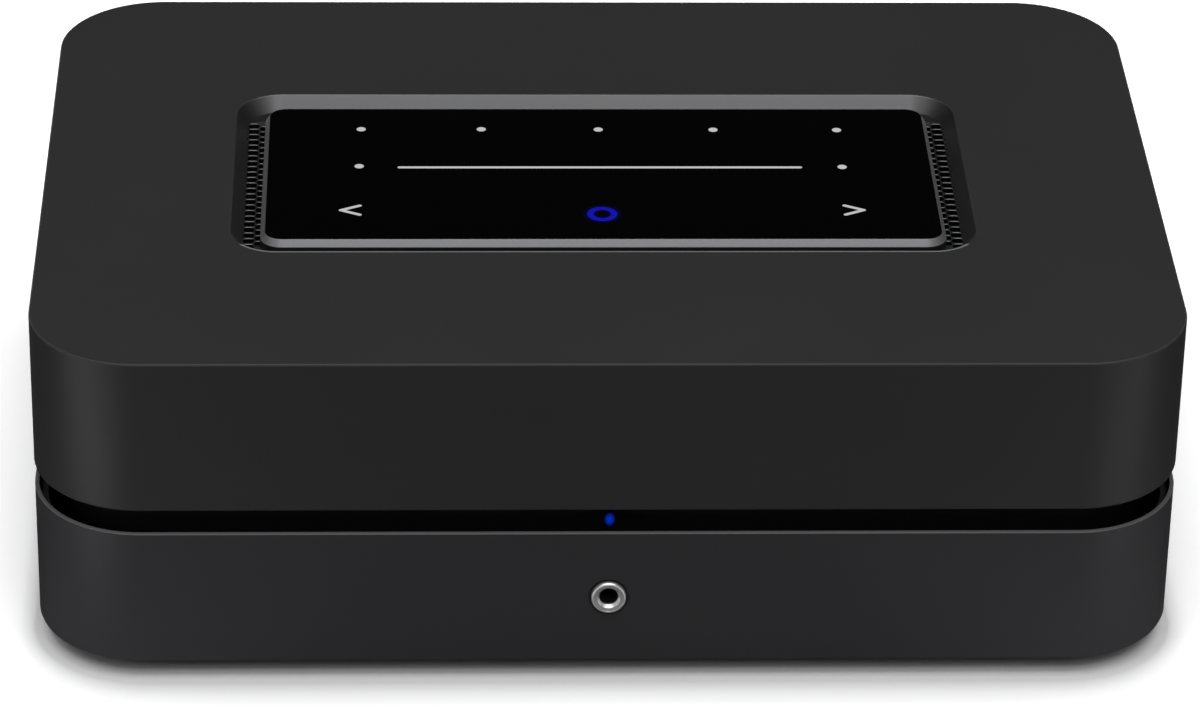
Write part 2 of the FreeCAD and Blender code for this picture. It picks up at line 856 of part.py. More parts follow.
# Sockets
def make_mains_inlet():
    """Two-pole inlet: a flange, a body and a socket in the shape of an eight."""
    half_x = inlet_body_width / 2
    half_z = inlet_body_height / 2
    body = box(inlet_x - half_x, inlet_x + half_x, y_panel - inlet_body_length, y_panel,
               inlet_height - half_z, inlet_height + half_z)
    flange = box(inlet_x - half_x - inlet_flange_margin, inlet_x + half_x + inlet_flange_margin,
                 y_panel, y_panel + bay_flange, inlet_height - half_z - inlet_flange_margin,
                 inlet_height + half_z + inlet_flange_margin)
    mouth = y_panel + bay_flange
    half_waist = inlet_waist_height / 2
    lobes = [hole_y(inlet_lobe_radius, inlet_x + side * inlet_lobe_pitch / 2, inlet_height,
                    mouth - inlet_depth, mouth) for side in (-1, 1)]
    waist = box(inlet_x - inlet_lobe_pitch / 2, inlet_x + inlet_lobe_pitch / 2,
                mouth - inlet_depth, mouth, inlet_height - half_waist,
                inlet_height + half_waist)
    return fuse([body, flange]).cut(lobes + [waist])


def make_inlet_pins():
    root = y_panel + bay_flange - inlet_depth
    return [faceted_y(inlet_pin_radius, head_sides, inlet_x + side * inlet_lobe_pitch / 2,
                      inlet_height, root, root + inlet_pin_length) for side in (-1, 1)]


def socket_shell(x, width, height, length, wall, depth):
    """A square-mouthed socket that stands on the main board and passes through the panel."""
    z = board_socket_height(height)
    mouth = y_panel + socket_proud
    body = box(x - width / 2, x + width / 2, mouth - length, mouth, z - height / 2, z + height / 2)
    cavity = box(x - width / 2 + wall, x + width / 2 - wall, mouth - depth, mouth,
                 z - height / 2 + wall, z + height / 2 - wall)
    return body, cavity, mouth, z


def make_ethernet_socket():
    body, _, mouth, z = socket_shell(ethernet_x, ethernet_width, ethernet_height,
                                     ethernet_length, socket_wall, ethernet_mouth_depth)
    half = ethernet_mouth_width / 2
    z0 = z + ethernet_height / 2 - socket_wall - ethernet_mouth_height
    cavity = box(ethernet_x - half, ethernet_x + half, mouth - ethernet_mouth_depth, mouth,
                 z0, z0 + ethernet_mouth_height)
    latch = box(ethernet_x - ethernet_latch_width / 2, ethernet_x + ethernet_latch_width / 2,
                mouth - ethernet_mouth_depth, mouth, z0 - ethernet_latch_height, z0)
    return body.cut([cavity, latch])


def make_usb_socket():
    body, cavity, mouth, z = socket_shell(usb_x, usb_width, usb_height, usb_length, usb_shell,
                                          usb_depth)
    z_tongue = z + usb_height / 2 - 2 * usb_shell - usb_tongue_thickness
    tongue = box(usb_x - usb_tongue_width / 2, usb_x + usb_tongue_width / 2,
                 mouth - usb_depth, mouth - usb_shell, z_tongue, z_tongue + usb_tongue_thickness)
    return fuse([body.cut(cavity), tongue])


def make_hdmi_socket():
    """Thin metal shell with bevelled lower corners and a contact tongue."""
    body, _, mouth, z = socket_shell(hdmi_x, hdmi_width, hdmi_height, hdmi_length, hdmi_shell,
                                     hdmi_depth)
    half = hdmi_width / 2 - hdmi_shell
    low = z - hdmi_height / 2 + hdmi_shell
    high = z + hdmi_height / 2 - hdmi_shell
    corners_xz = [(-half, high), (half, high), (half, low + hdmi_bevel), (half - hdmi_bevel, low),
                  (-half + hdmi_bevel, low), (-half, low + hdmi_bevel), (-half, high)]
    points = [FreeCAD.Vector(hdmi_x + px, mouth - hdmi_depth, pz) for px, pz in corners_xz]
    cavity = Part.Face(Part.makePolygon(points)).extrude(FreeCAD.Vector(0, hdmi_depth, 0))
    tongue = box(hdmi_x - hdmi_tongue_width / 2, hdmi_x + hdmi_tongue_width / 2,
                 mouth - hdmi_depth, mouth - hdmi_shell, z - hdmi_tongue_thickness / 2,
                 z + hdmi_tongue_thickness / 2)
    return fuse([body.cut(cavity), tongue])


def make_audio_in_socket():
    z = board_socket_height(audio_in_height)
    mouth = y_panel + socket_proud
    half_x = audio_in_width / 2
    half_z = audio_in_height / 2
    body = box(audio_in_x - half_x, audio_in_x + half_x, mouth - audio_in_length, y_panel,
               z - half_z, z + half_z)
    collar = faceted_y(audio_in_collar_radius, round_sides, audio_in_x, z, y_panel - 1, mouth)
    bore = rod_y(audio_in_bore_radius, audio_in_x, z, mouth - audio_in_bore_depth, mouth)
    return fuse([body, collar]).cut(bore)


def make_sub_out_socket():
    """Phono socket: board housing, outer sleeve and a centre with a pin hole."""
    z = board_socket_height(sub_out_height)
    half_x = sub_out_width / 2
    half_z = sub_out_height / 2
    housing = box(sub_out_x - half_x, sub_out_x + half_x, y_panel - sub_out_length, y_panel,
                  z - half_z, z + half_z)
    sleeve_end = y_panel + socket_proud + sub_out_sleeve_length
    sleeve = rod_y(sub_out_sleeve_radius, sub_out_x, z, y_panel, sleeve_end)
    hollow = hole_y(sub_out_socket_radius, sub_out_x, z, sleeve_end - sub_out_core_setback,
                    sleeve_end)
    hole = hole_y(sub_out_pin_hole_radius, sub_out_x, z, y_panel, sleeve_end, hole_sides)
    return fuse([housing, sleeve]).cut([hollow, hole])


# Inner plates and boards
y_inner_limit = y_panel_inner - slip


def make_mid_plate():
    """Steel divider between the power tier and the signal tier, with air slots."""
    x = window_half_x + mid_plate_lap
    plate = box(-x, x, -window_half_y - mid_plate_lap, y_inner_limit, z_shelf_top, z_mid_top)
    space = light_board_width / 2 + 1
    tools = [box(-space, space, -half_depth, -window_half_y, z_shelf_top, z_mid_top)]
    for side in (-1, 1):
        for i in range(mid_slot_count):
            y = (i - (mid_slot_count - 1) / 2) * mid_slot_pitch
            centre = side * (window_half_x - mid_slot_length / 2 - mid_plate_lap)
            tools.append(box(centre - mid_slot_length / 2, centre + mid_slot_length / 2,
                             y - slot_width / 2, y + slot_width / 2, z_shelf_top, z_mid_top))
    tools += [hole_z(column_radius + seam, sx * column_x, sy * column_y, z_shelf_top, z_mid_top)
              for sx, sy in corners]
    return plate.cut(tools)


def main_standoff_places():
    xs = (main_board_left + board_corner_inset, main_board_right - board_corner_inset)
    ys = (main_board_front + board_corner_inset, y_inner_limit - main_standoff_setback)
    return [(x, y) for x in xs for y in ys]


def low_board_bounds():
    """Left and right edge of the power board and of the amplifier board."""
    return [(-low_board_half, -low_board_inner), (low_board_inner, low_board_half)]


def low_standoff_places():
    ys = (low_board_front + board_corner_inset, y_low_back - board_corner_inset)
    return [(x, y) for low, high in low_board_bounds()
            for x in (low + board_corner_inset, high - board_corner_inset) for y in ys]


y_low_back = y_panel - inlet_body_length - board_edge_gap


def standoff(x, y, z0, z1):
    """A six-sided spacer."""
    return faceted_z(standoff_width / math.sqrt(3), 6, x, y, z0, z1)


def make_main_standoffs():
    return [standoff(x, y, z_mid_top, z_main_bottom) for x, y in main_standoff_places()]


def make_low_standoffs():
    return [standoff(x, y, z_plate_top, z_low_board) for x, y in low_standoff_places()]


def board(x0, x1, y0, y1, z0, extras):
    """A circuit board with the parts soldered onto it."""
    return fuse([box(x0, x1, y0, y1, z0, z0 + board_thickness)] + extras)


def make_main_board():
    """Main board with the processor and the header of the ribbon cable."""
    quarter = chip_sink_width / 4
    processor = box(chip_sink_x - quarter, chip_sink_x + quarter, chip_sink_y - quarter,
                    chip_sink_y + quarter, z_main_top, z_main_top + processor_thickness)
    header_x = ribbon_x - ribbon_bend - ribbon_run
    header = box(header_x - header_length, header_x, ribbon_y - ribbon_width / 2,
                 ribbon_y + ribbon_width / 2, z_main_top, z_main_top + header_height)
    return board(main_board_left, main_board_right, main_board_front, y_inner_limit,
                 z_main_bottom, [processor, header])


def finned_block(x, y, z, width, length, base, height, fins, wall):
    """A heat sink: a base and a row of thin upright fins along Y."""
    left = x - width / 2
    parts = [box(left, left + width, y - length / 2, y + length / 2, z, z + base)]
    pitch = (width - wall) / (fins - 1)
    for i in range(fins):
        fin = left + i * pitch
        parts.append(box(fin, fin + wall, y - length / 2, y + length / 2, z + base, z + height))
    return fuse(parts)


def make_processor_heat_sink():
    return finned_block(chip_sink_x, chip_sink_y, z_main_top + processor_thickness,
                        chip_sink_width, chip_sink_width, chip_sink_base, chip_sink_height,
                        chip_sink_fins, chip_sink_fin_wall)


def make_network_module():
    """Wireless module: its own small board under a shielding can."""
    x0 = module_x - module_width / 2
    y0 = module_y - module_length / 2
    small_board = box(x0, x0 + module_width, y0, y0 + module_length, z_main_top,
                      z_main_top + socket_wall)
    can = box(x0 + socket_wall, x0 + module_width - socket_wall, y0 + socket_wall,
              y0 + module_can_length, z_main_top + socket_wall, z_main_top + module_height)
    return fuse([small_board, can])


def make_antenna(side):
    """Flat aerial stuck upright to the inside of the upper shell."""
    wall = side * (half_width - shell_wall)
    inner = wall - side * antenna_thickness
    low, high = min(wall, inner), max(wall, inner)
    z0 = z_core_top + seam
    return box(low, high, antenna_y - antenna_length / 2, antenna_y + antenna_length / 2,
               z0, min(z0 + antenna_height, z_tray_bottom))


def make_ribbon_cable():
    """Flat cable from the touch board down through the tray and across to its header."""
    half = ribbon_width / 2
    z_run = z_main_top + header_height / 2
    y0, y1 = ribbon_y - half, ribbon_y + half
    left = ribbon_x - ribbon_thickness / 2
    drop = box(left, left + ribbon_thickness, y0, y1, z_run + ribbon_bend, z_top_under)
    centre = FreeCAD.Vector(left - ribbon_bend + ribbon_thickness, y0, z_run + ribbon_bend)
    outer = Part.makeCylinder(ribbon_bend, ribbon_width, centre, FreeCAD.Vector(0, 1, 0))
    inner = Part.makeCylinder(ribbon_bend - ribbon_thickness, ribbon_width, centre,
                              FreeCAD.Vector(0, 1, 0))
    quarter = box(centre.x, left + ribbon_thickness, y0, y1, z_run, z_run + ribbon_bend)
    bend = outer.cut(inner).common(quarter)
    header_x = ribbon_x - ribbon_bend - ribbon_run
    run = box(header_x, centre.x, y0, y1, z_run, z_run + ribbon_thickness)
    return fuse([drop, bend, run])


def make_power_board():
    low, high = low_board_bounds()[0]
    return board(low, high, low_board_front, y_low_back, z_low_board, [])


def make_amplifier_board():
    """Amplifier board with the power stage chip under its heat sink."""
    low, high = low_board_bounds()[1]
    quarter_x = sink_width / 4
    quarter_y = sink_length / 4
    chip = box(sink_x - quarter_x, sink_x + quarter_x, sink_y - quarter_y, sink_y + quarter_y,
               z_low_top, z_low_top + amplifier_chip_thickness)
    return board(low, high, low_board_front, y_low_back, z_low_board, [chip])


def make_heat_sink():
    return finned_block(sink_x, sink_y, z_low_top + amplifier_chip_thickness, sink_width,
                        sink_length, sink_base, sink_height, sink_fins, sink_fin_wall)


def make_transformer_core():
    """Ferrite core: a closed frame with a centre leg, lying on the power board."""
    half_x = transformer_width / 2
    half_y = transformer_length / 2
    z1 = z_low_top + transformer_height
    low = z_low_top + winding_bulge
    high = z1 - winding_bulge
    block = box(transformer_x - half_x, transformer_x + half_x, transformer_y - half_y,
                transformer_y + half_y, low, high)
    windows = []
    for side in (-1, 1):
        inner = transformer_x + side * transformer_leg / 2
        outer = transformer_x + side * (half_x - transformer_leg / 2)
        windows.append(box(min(inner, outer), max(inner, outer),
                           transformer_y - half_y + transformer_leg / 2,
                           transformer_y + half_y - transformer_leg / 2, low, high))
    return block.cut(windows)


def make_transformer_winding():
    """Taped winding and bobbin around the centre leg; the bobbin stands on the board."""
    z1 = z_low_top + transformer_height
    half_x = transformer_width / 2 - transformer_leg / 2 - winding_clearance
    half_y = transformer_length / 2 - transformer_leg / 2 - winding_clearance
    coil = box(transformer_x - half_x, transformer_x + half_x, transformer_y - half_y,
               transformer_y + half_y, z_low_top, z1)
    upright = [e for e in coil.Edges if e.BoundBox.ZLength > transformer_height / 2]
    coil = coil.makeChamfer(winding_bulge, upright)
    leg = transformer_leg / 2 + slip
    slot = box(transformer_x - leg, transformer_x + leg, transformer_y - transformer_length,
               transformer_y + transformer_length, z_low_top + winding_bulge - slip,
               z1 - winding_bulge + slip)
    return coil.cut(slot)


def make_bulk_capacitors():
    return [faceted_z(capacitor_radius, head_sides, capacitor_x + i * capacitor_pitch,
                      capacitor_y, z_low_top, z_low_top + capacitor_height)
            for i in range(capacitor_count)]


def make_mains_choke():
    """Ring choke standing on its edge, its foot flattened onto the board."""
    z = z_low_top + choke_radius - seam
    y0, y1 = choke_y - choke_width / 2, choke_y + choke_width / 2
    ring = faceted_y(choke_radius, round_sides, choke_x, z, y0, y1)
    hole = hole_y(choke_hole, choke_x, z, y0, y1, head_sides)
    below = box(choke_x - choke_radius, choke_x + choke_radius, choke_y - choke_width,
                choke_y + choke_width, z_low_board, z_low_top)
    return ring.cut([hole, below])


def make_output_inductors():
    """Square shielded inductors in a row, their upright corners bevelled."""
    middle = (inductor_count - 1) / 2
    low, high = low_board_bounds()[1]
    centre = (low + high) / 2
    found = []
    for i in range(inductor_count):
        x = centre + (i - middle) * inductor_pitch
        half = inductor_width / 2
        block = box(x - half, x + half, inductor_y - half, inductor_y + half, z_low_top,
                    z_low_top + inductor_height)
        upright = [e for e in block.Edges if e.BoundBox.ZLength > inductor_height / 2]
        found.append(block.makeChamfer(inductor_corner, upright))
    return found


nodes = {
    "upper_shell": make_upper_shell(),
    "lower_shell": make_lower_shell(),
    "base_plate": make_base_plate(),
    "core_frame": make_core_frame(),
    "status_light_pipe": make_status_light_pipe(),
    "status_light_board": make_status_light_board(),
    "glass_frame": make_glass_frame(),
    "touch_glass": make_touch_glass(),
    "touch_board": make_touch_board(),
    "panel_tray": make_panel_tray(),
    "vent_mesh_left": make_vent_mesh(-1),
    "vent_mesh_right": make_vent_mesh(1),
    "headphone_ring": make_headphone_ring(),
    "headphone_jack": make_headphone_jack(),
    "headphone_board": make_headphone_board(),
    "rear_panel": make_rear_panel(),
    "terminal_base": make_terminal_base(),
    "terminal_posts": make_terminal_posts(),
    "post_nuts": make_post_nuts(),
    "mains_inlet": make_mains_inlet(),
    "inlet_pins": make_inlet_pins(),
    "ethernet_socket": make_ethernet_socket(),
    "usb_socket": make_usb_socket(),
    "hdmi_socket": make_hdmi_socket(),
    "audio_in_socket": make_audio_in_socket(),
    "sub_out_socket": make_sub_out_socket(),
    "mid_plate": make_mid_plate(),
    "main_standoffs": make_main_standoffs(),
    "main_board": make_main_board(),
    "processor_heat_sink": make_processor_heat_sink(),
    "network_module": make_network_module(),
    "antenna_left": make_antenna(-1),
    "antenna_right": make_antenna(1),
    "ribbon_cable": make_ribbon_cable(),
    "low_standoffs": make_low_standoffs(),
    "power_board": make_power_board(),
    "transformer_core": make_transformer_core(),
    "transformer_winding": make_transformer_winding(),
    "bulk_capacitors": make_bulk_capacitors(),
    "mains_choke": make_mains_choke(),
    "amplifier_board": make_amplifier_board(),
    "heat_sink": make_heat_sink(),
    "output_inductors": make_output_inductors(),
    "housing_screws": make_housing_screws(),
}
for (sx, sy), place in zip(corners, ("front_left", "back_left", "front_right", "back_right")):
    nodes["foot_" + place] = make_foot(sx, sy)
for number, x in enumerate(terminal_places(), 1):
    nodes["clamp_washer_%d" % number] = make_washer(x)
    nodes["terminal_cap_%d" % number] = make_terminal_cap(x)

os.makedirs("parts", exist_ok=True)
for name, shape in nodes.items():
    if isinstance(shape, list):
        shape = Part.makeCompound(shape)
    shape.exportStep("parts/%s.step" % name)
    print(name, "solids", len(shape.Solids), "valid", shape.isValid(), "volume", round(shape.Volume, 1))
print("nodes", len(nodes))
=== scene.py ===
# %% [markdown]
# # A streaming amplifier, dressed in Blender
# The solids come packed from the CAD model and stay where they are. This lesson gives each of
# them its finish, adds the fine pieces that solids leave out, and sets up the studio.

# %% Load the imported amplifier
import bpy
import math
from mathutils import Matrix, Vector


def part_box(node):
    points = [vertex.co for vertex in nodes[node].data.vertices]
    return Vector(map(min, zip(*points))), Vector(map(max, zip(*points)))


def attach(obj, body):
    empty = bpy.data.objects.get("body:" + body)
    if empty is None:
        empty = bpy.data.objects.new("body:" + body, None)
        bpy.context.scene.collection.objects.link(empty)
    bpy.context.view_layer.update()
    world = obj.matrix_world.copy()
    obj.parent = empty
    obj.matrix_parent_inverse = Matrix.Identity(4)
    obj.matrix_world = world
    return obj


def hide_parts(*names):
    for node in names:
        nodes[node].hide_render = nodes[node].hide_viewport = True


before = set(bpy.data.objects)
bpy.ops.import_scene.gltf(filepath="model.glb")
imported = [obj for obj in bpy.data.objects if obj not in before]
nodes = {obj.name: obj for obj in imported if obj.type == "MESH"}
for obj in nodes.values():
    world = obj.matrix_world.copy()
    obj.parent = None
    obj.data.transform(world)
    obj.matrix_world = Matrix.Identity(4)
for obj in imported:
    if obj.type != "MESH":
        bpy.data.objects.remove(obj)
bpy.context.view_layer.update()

MM = 0.001

# %% [markdown]
# ## Shader maths written as sums
# A finish is a small network of nodes. Wiring one by hand takes a line for each link, so one
# class wraps an output and turns +, -, * and / into Math nodes. Everything else, such as a
# noise or a bump, comes from one method that takes the node's type, settings and values.

# %% A value that can be used in sums
class Value:
    """One output of a node. Sums and comparisons with it add their Math nodes."""

    def __init__(self, finish, socket):
        self.finish = finish
        self.socket = socket

    def maths(self, operation, *values):
        return self.finish.node("ShaderNodeMath", {"operation": operation},
                                dict(enumerate(values)))

    def __add__(self, other):
        return self.maths("ADD", self, other)

    __radd__ = __add__

    def __sub__(self, other):
        return self.maths("SUBTRACT", self, other)

    def __rsub__(self, other):
        return self.maths("SUBTRACT", other, self)

    def __mul__(self, other):
        return self.maths("MULTIPLY", self, other)

    __rmul__ = __mul__

    def __truediv__(self, other):
        return self.maths("DIVIDE", self, other)

    def __pow__(self, power):
        return self.maths("POWER", self, power)

    def __abs__(self):
        return self.maths("ABSOLUTE", self)

    def __lt__(self, other):
        return self.maths("LESS_THAN", self, other)

    def __gt__(self, other):
        return self.maths("GREATER_THAN", self, other)

    def sine(self):
        return self.maths("SINE", self)

    def root(self):
        return self.maths("SQRT", self)

    def larger(self, other):
        return self.maths("MAXIMUM", self, other)

    def smaller(self, other):
        return self.maths("MINIMUM", self, other)

    def steps(self, size):
        return self.maths("PINGPONG", self, size)


print("a value knows", len([n for n in dir(Value) if n.startswith("__r")]), "reflected forms")

# %% [markdown]
# ## A finish and what every finish starts from
# Each finish reads Object coordinates, in metres, so that a pattern keeps its real size on
# every piece. Only what changes over the surface is linked. A constant is written on the shader
# itself. Most finishes let one pattern move the colour between two ends and the roughness with
# it, so that is a method of its own.

# %% The finish
finishes = {}


def grey(level):
    return (level, level, level)


class Finish:
    """A material with one Principled shader, and short ways to vary it."""

    def __init__(self, name, colour, roughness, **constants):
        self.material = bpy.data.materials.new(name)
        self.material.use_nodes = True
        self.tree = self.material.node_tree
        self.tree.nodes.clear()
        self.out = self.tree.nodes.new("ShaderNodeOutputMaterial")
        self.shader = self.tree.nodes.new("ShaderNodeBsdfPrincipled")
        self.tree.links.new(self.shader.outputs[0], self.out.inputs["Surface"])
        self.material.diffuse_color = (*colour, 1)
        self.give("Base Color", (*colour, 1))
        self.give("Roughness", roughness)
        for socket, value in constants.items():
            self.give(socket.replace("_", " "), value)
        finishes[name] = self

    def put(self, socket, value):
        if isinstance(value, Value):
            self.tree.links.new(value.socket, socket)
        else:
            socket.default_value = value

    def give(self, socket, value):
        self.put(self.shader.inputs[socket], value)

    def node(self, kind, settings=None, values=None, output=0):
        made = self.tree.nodes.new(kind)
        for key, value in (settings or {}).items():
            setattr(made, key, value)
        for key, value in (values or {}).items():
            self.put(made.inputs[key], value)
        return Value(self, made.outputs[output])

    def place(self, stretch=(1, 1, 1)):
        spot = self.node("ShaderNodeTexCoord", output="Object")
        if tuple(stretch) == (1, 1, 1):
            return spot
        return self.node("ShaderNodeMapping", None, {"Vector": spot, "Scale": stretch})

    def axes(self):
        spot = self.place()
        return [self.node("ShaderNodeSeparateXYZ", None, {0: spot}, i) for i in range(3)]

    def noise(self, scale, detail=2.0, stretch=(1, 1, 1)):
        return self.node("ShaderNodeTexNoise", None,
                         {"Vector": self.place(stretch), "Scale": scale, "Detail": detail})

    def spread(self, value, low, high, to_low, to_high):
        return self.node("ShaderNodeMapRange", None,
                         {0: value, 1: low, 2: high, 3: to_low, 4: to_high})

    def blend(self, mask, colour_a, colour_b):
        return self.node("ShaderNodeMix", {"data_type": "RGBA"},
                         {0: mask, 6: self.full(colour_a), 7: self.full(colour_b)}, 2)

    def full(self, colour):
        return colour if isinstance(colour, Value) else (*colour, 1)

    def vary(self, value, dark, pale, smooth, swing):
        """Lets one value move the colour from dark to pale, and the roughness with it."""
        self.give("Base Color", self.blend(value, dark, pale))
        self.give("Roughness", smooth + swing * value)

    def bump(self, height, depth, strength=1.0):
        self.give("Normal", self.node("ShaderNodeBump", None,
                                      {"Height": height, "Distance": depth,
                                       "Strength": strength}))

    def dress(self, *names):
        for name in names:
            mesh = nodes[name].data if isinstance(name, str) else name.data
            mesh.materials.clear()
            mesh.materials.append(self.material)


print("ready to mix finishes")

# %% [markdown]
# ## The charcoal coat of the two shells
# The shells are sprayed a satin charcoal. Up close such a coat has a fine even grain, and over
# a hand's width its sheen drifts a little. Two noises give that: one of a quarter of a
# millimetre for the grain, and one of several centimetres for the drift in sheen and tone. The
# lower tier is painted a shade lighter and cooler, in place of the extra light that it gets
# from the floor close by. The walls of the well are cut bright after spraying. Painted
# highlights lie on the top of the lower tier's rim, on the well's front lip and on the upper
# tier's top edge. Each of these is a mask on the place.

# %% Charcoal coat
WELL_REACH_X, WELL_REACH_Y = 90 * MM, 50 * MM
WELL_TOP, WELL_FOOT = 69.995 * MM, 67.0 * MM
RIM_TOP, RIM_FOOT = 33.1 * MM, 32.82 * MM
LIP_FOOT, LIP_BACK = 69.9 * MM, -30.0 * MM
BETWEEN_TIERS = 35.0 * MM
EDGE_FOOT, EDGE_TOP = 69.6 * MM, 69.98 * MM
# The colours for the top edge, the rim and the well's front lip are painted highlights.
PAINTED_EDGE_HIGHLIGHT, CUT_METAL = (0.038, 0.038, 0.039), (0.117, 0.117, 0.12)
PAINTED_RIM_HIGHLIGHT, PAINTED_LIP_HIGHLIGHT = (0.115, 0.115, 0.118), (0.155, 0.155, 0.158)
coat = Finish("charcoal_coat", (0.0235, 0.0235, 0.0245), 0.5, Specular_IOR_Level=0.11)
drift = coat.noise(18, 3)
grain = coat.noise(3800, 2)
x, y, z = coat.axes()
cut_wall = (abs(x) < WELL_REACH_X) * (abs(y) < WELL_REACH_Y)
cut_wall = cut_wall * (z > WELL_FOOT) * (z < WELL_TOP)
# The well's front lip carries a painted highlight.
lip_highlight = cut_wall * (z > LIP_FOOT) * (y < LIP_BACK)
# The top of the lower tier's rim carries a painted highlight.
rim = (z > RIM_FOOT) * (z < RIM_TOP)
# The lower tier's coat is painted lighter and cooler, in place of the light it gets from the
# floor.
upper_coat = coat.blend(drift, (0.0212, 0.0213, 0.0221), (0.0262, 0.0263, 0.0271))
lower_coat_painted_lighter = coat.blend(drift, (0.0255, 0.0255, 0.0278), (0.0305, 0.0305, 0.0328))
painted = coat.blend(z < BETWEEN_TIERS, upper_coat, lower_coat_painted_lighter)
# The upper tier's top edge carries a painted highlight.
edge = (z > EDGE_FOOT) * (z < EDGE_TOP)
edge_highlighted = coat.blend(edge, painted, PAINTED_EDGE_HIGHLIGHT)
walled = coat.blend(cut_wall, edge_highlighted, CUT_METAL)
rim_highlighted = coat.blend(rim, walled, PAINTED_RIM_HIGHLIGHT)
coat.give("Base Color", coat.blend(lip_highlight, rim_highlighted, PAINTED_LIP_HIGHLIGHT))
coat.give("Metallic", cut_wall - lip_highlight)
coat.give("Roughness", 0.33 + 0.07 * drift + 0.04 * grain + 0.03 * cut_wall)
coat.bump(grain, 0.00001, 0.25)
coat.dress("upper_shell", "lower_shell")
print("coat on", coat.material.name)

# %% [markdown]
# ## Black parts: powder coat, mouldings and rubber
# The base and the rear tray have a powder coat, which dries with a fine orange peel. The core
# frame, the well's floor and the sockets are moulded plastic with a spark-eroded grain, and the
# feet are rubber. All four are near black, so their grain and sheen tell them apart.

# %% Powder coat, mouldings and rubber
powder = Finish("black_powder_coat", (0.016, 0.016, 0.017), 0.55, Specular_IOR_Level=0.4)
peel = powder.noise(900, 2)
powder.give("Base Color", powder.blend(powder.noise(25, 3), (0.013, 0.013, 0.014),
                                       (0.019, 0.019, 0.020)))
powder.give("Roughness", 0.5 + 0.12 * peel)
powder.bump(peel, 0.00004, 0.35)
powder.dress("base_plate", "rear_panel")

core = Finish("core_moulding", grey(0.004), 0.7, Specular_IOR_Level=0.2)
spark = core.noise(2600, 3)
core.vary(spark, grey(0.003), grey(0.006), 0.62, 0.15)
core.bump(spark, 0.00002, 0.4)
core.dress("core_frame", "panel_tray")

socket = Finish("socket_moulding", (0.015, 0.015, 0.016), 0.42, Specular_IOR_Level=0.5)
fleck = socket.noise(2200, 3)
socket.vary(fleck, (0.011, 0.011, 0.012), (0.021, 0.021, 0.022), 0.36, 0.14)
socket.bump(fleck, 0.00002, 0.3)
socket.dress("headphone_jack", "mains_inlet", "audio_in_socket")

rubber = Finish("foot_rubber", grey(0.018), 0.85, Specular_IOR_Level=0.25)
dust = rubber.noise(500, 4)
rubber.vary(dust, grey(0.013), (0.028, 0.028, 0.027), 0.75, 0.2)
rubber.bump(dust, 0.00005, 0.3)
rubber.dress("foot_front_left", "foot_back_left", "foot_front_right", "foot_back_right")
print("four black finishes")

# %% [markdown]
# ## The touch panel's printed glass
# The cover glass is printed black from behind, and its marks are left clear for light to come
# through: five dots, a slider line between two dots, two arrows, and a blue ring. Cut pieces
# would stand proud of the glass, so the marks are masks: each is the distance to a shape,
# compared with the shape's size, and softened over a twentieth of a millimetre. Round the ring
# the glass glows faintly blue for about a millimetre, a painted halo.

# %% Printed marks on the glass
glass = Finish("printed_cover_glass", (0.0004, 0.0004, 0.0005), 0.05, Specular_IOR_Level=0.02)
glass_x, glass_y, _ = glass.axes()
SOFT_EDGE = 0.05 * MM


def inside(distance, reach):
    """1 within reach of a shape, falling to 0 over the soft edge."""
    return glass.spread(distance, reach - SOFT_EDGE, reach + SOFT_EDGE, 1.0, 0.0)


def from_point(x, y):
    """Distance to a point that is given in millimetres."""
    across = glass_x - x * MM
    along = glass_y - y * MM
    return (across * across + along * along).root()


def from_line(x0, y0, x1, y1):
    """Distance to a straight stroke between two points, in millimetres."""
    dx, dy = (x1 - x0) * MM, (y1 - y0) * MM
    across, along = glass_x - x0 * MM, glass_y - y0 * MM
    share = (across * dx + along * dy) / (dx * dx + dy * dy)
    share = share.larger(0.0).smaller(1.0)
    off_x, off_y = across - share * dx, along - share * dy
    return (off_x * off_x + off_y * off_y).root()


DOT_RADIUS, STROKE = 0.92 * MM, 0.42 * MM
DOTS = ((-47.6, 18.7), (-23.4, 18.7), (0.2, 18.6), (23.4, 18.5), (48.4, 18.4),
        (-47.9, 2.7), (48.4, 2.4))
SLIDER_LEFT, SLIDER_RIGHT, SLIDER_Y = -39.85, 39.95, 2.2
ARROW_TIP, ARROW_TAIL, ARROW_Y, ARROW_RISE = 51.35, 47.7, -15.8, 1.87
BLUE_RING_PLACE = (-0.15, -17.4)
BLUE_RING_RADIUS, BLUE_RING_STROKE = 2.32 * MM, 0.64 * MM
marks = inside(from_line(SLIDER_LEFT, SLIDER_Y, SLIDER_RIGHT, SLIDER_Y), STROKE)
for x, y in DOTS:
    marks = marks.larger(inside(from_point(x, y), DOT_RADIUS))
for side in (-1, 1):
    for rise in (ARROW_RISE, -ARROW_RISE):
        arm = from_line(side * ARROW_TIP, ARROW_Y, side * ARROW_TAIL, ARROW_Y + rise)
        marks = marks.larger(inside(arm, STROKE))
ring_distance = abs(from_point(*BLUE_RING_PLACE) - BLUE_RING_RADIUS)
ring = inside(ring_distance, BLUE_RING_STROKE)
# A painted halo: the glass glows faintly blue just outside the ring.
painted_ring_halo = glass.spread(ring_distance, 0.5 * MM, 1.6 * MM, 0.1, 0.0)
lit = glass.blend(marks, grey(0.0), grey(0.54))
ring_light = glass.blend(ring.larger(painted_ring_halo), grey(0.0), (0.006, 0.006, 0.39))
light = glass.node("ShaderNodeMix", {"data_type": "RGBA", "blend_type": "ADD"},
                   {0: 1.0, 6: lit, 7: ring_light}, 2)
glass.give("Emission Color", light)
glass.give("Emission Strength", 1.0)
smudge = glass.noise(30, 4)
glass.give("Roughness", 0.035 + 0.05 * smudge)
glass.dress("touch_glass")
print("marks printed:", len(glass.tree.nodes), "nodes")
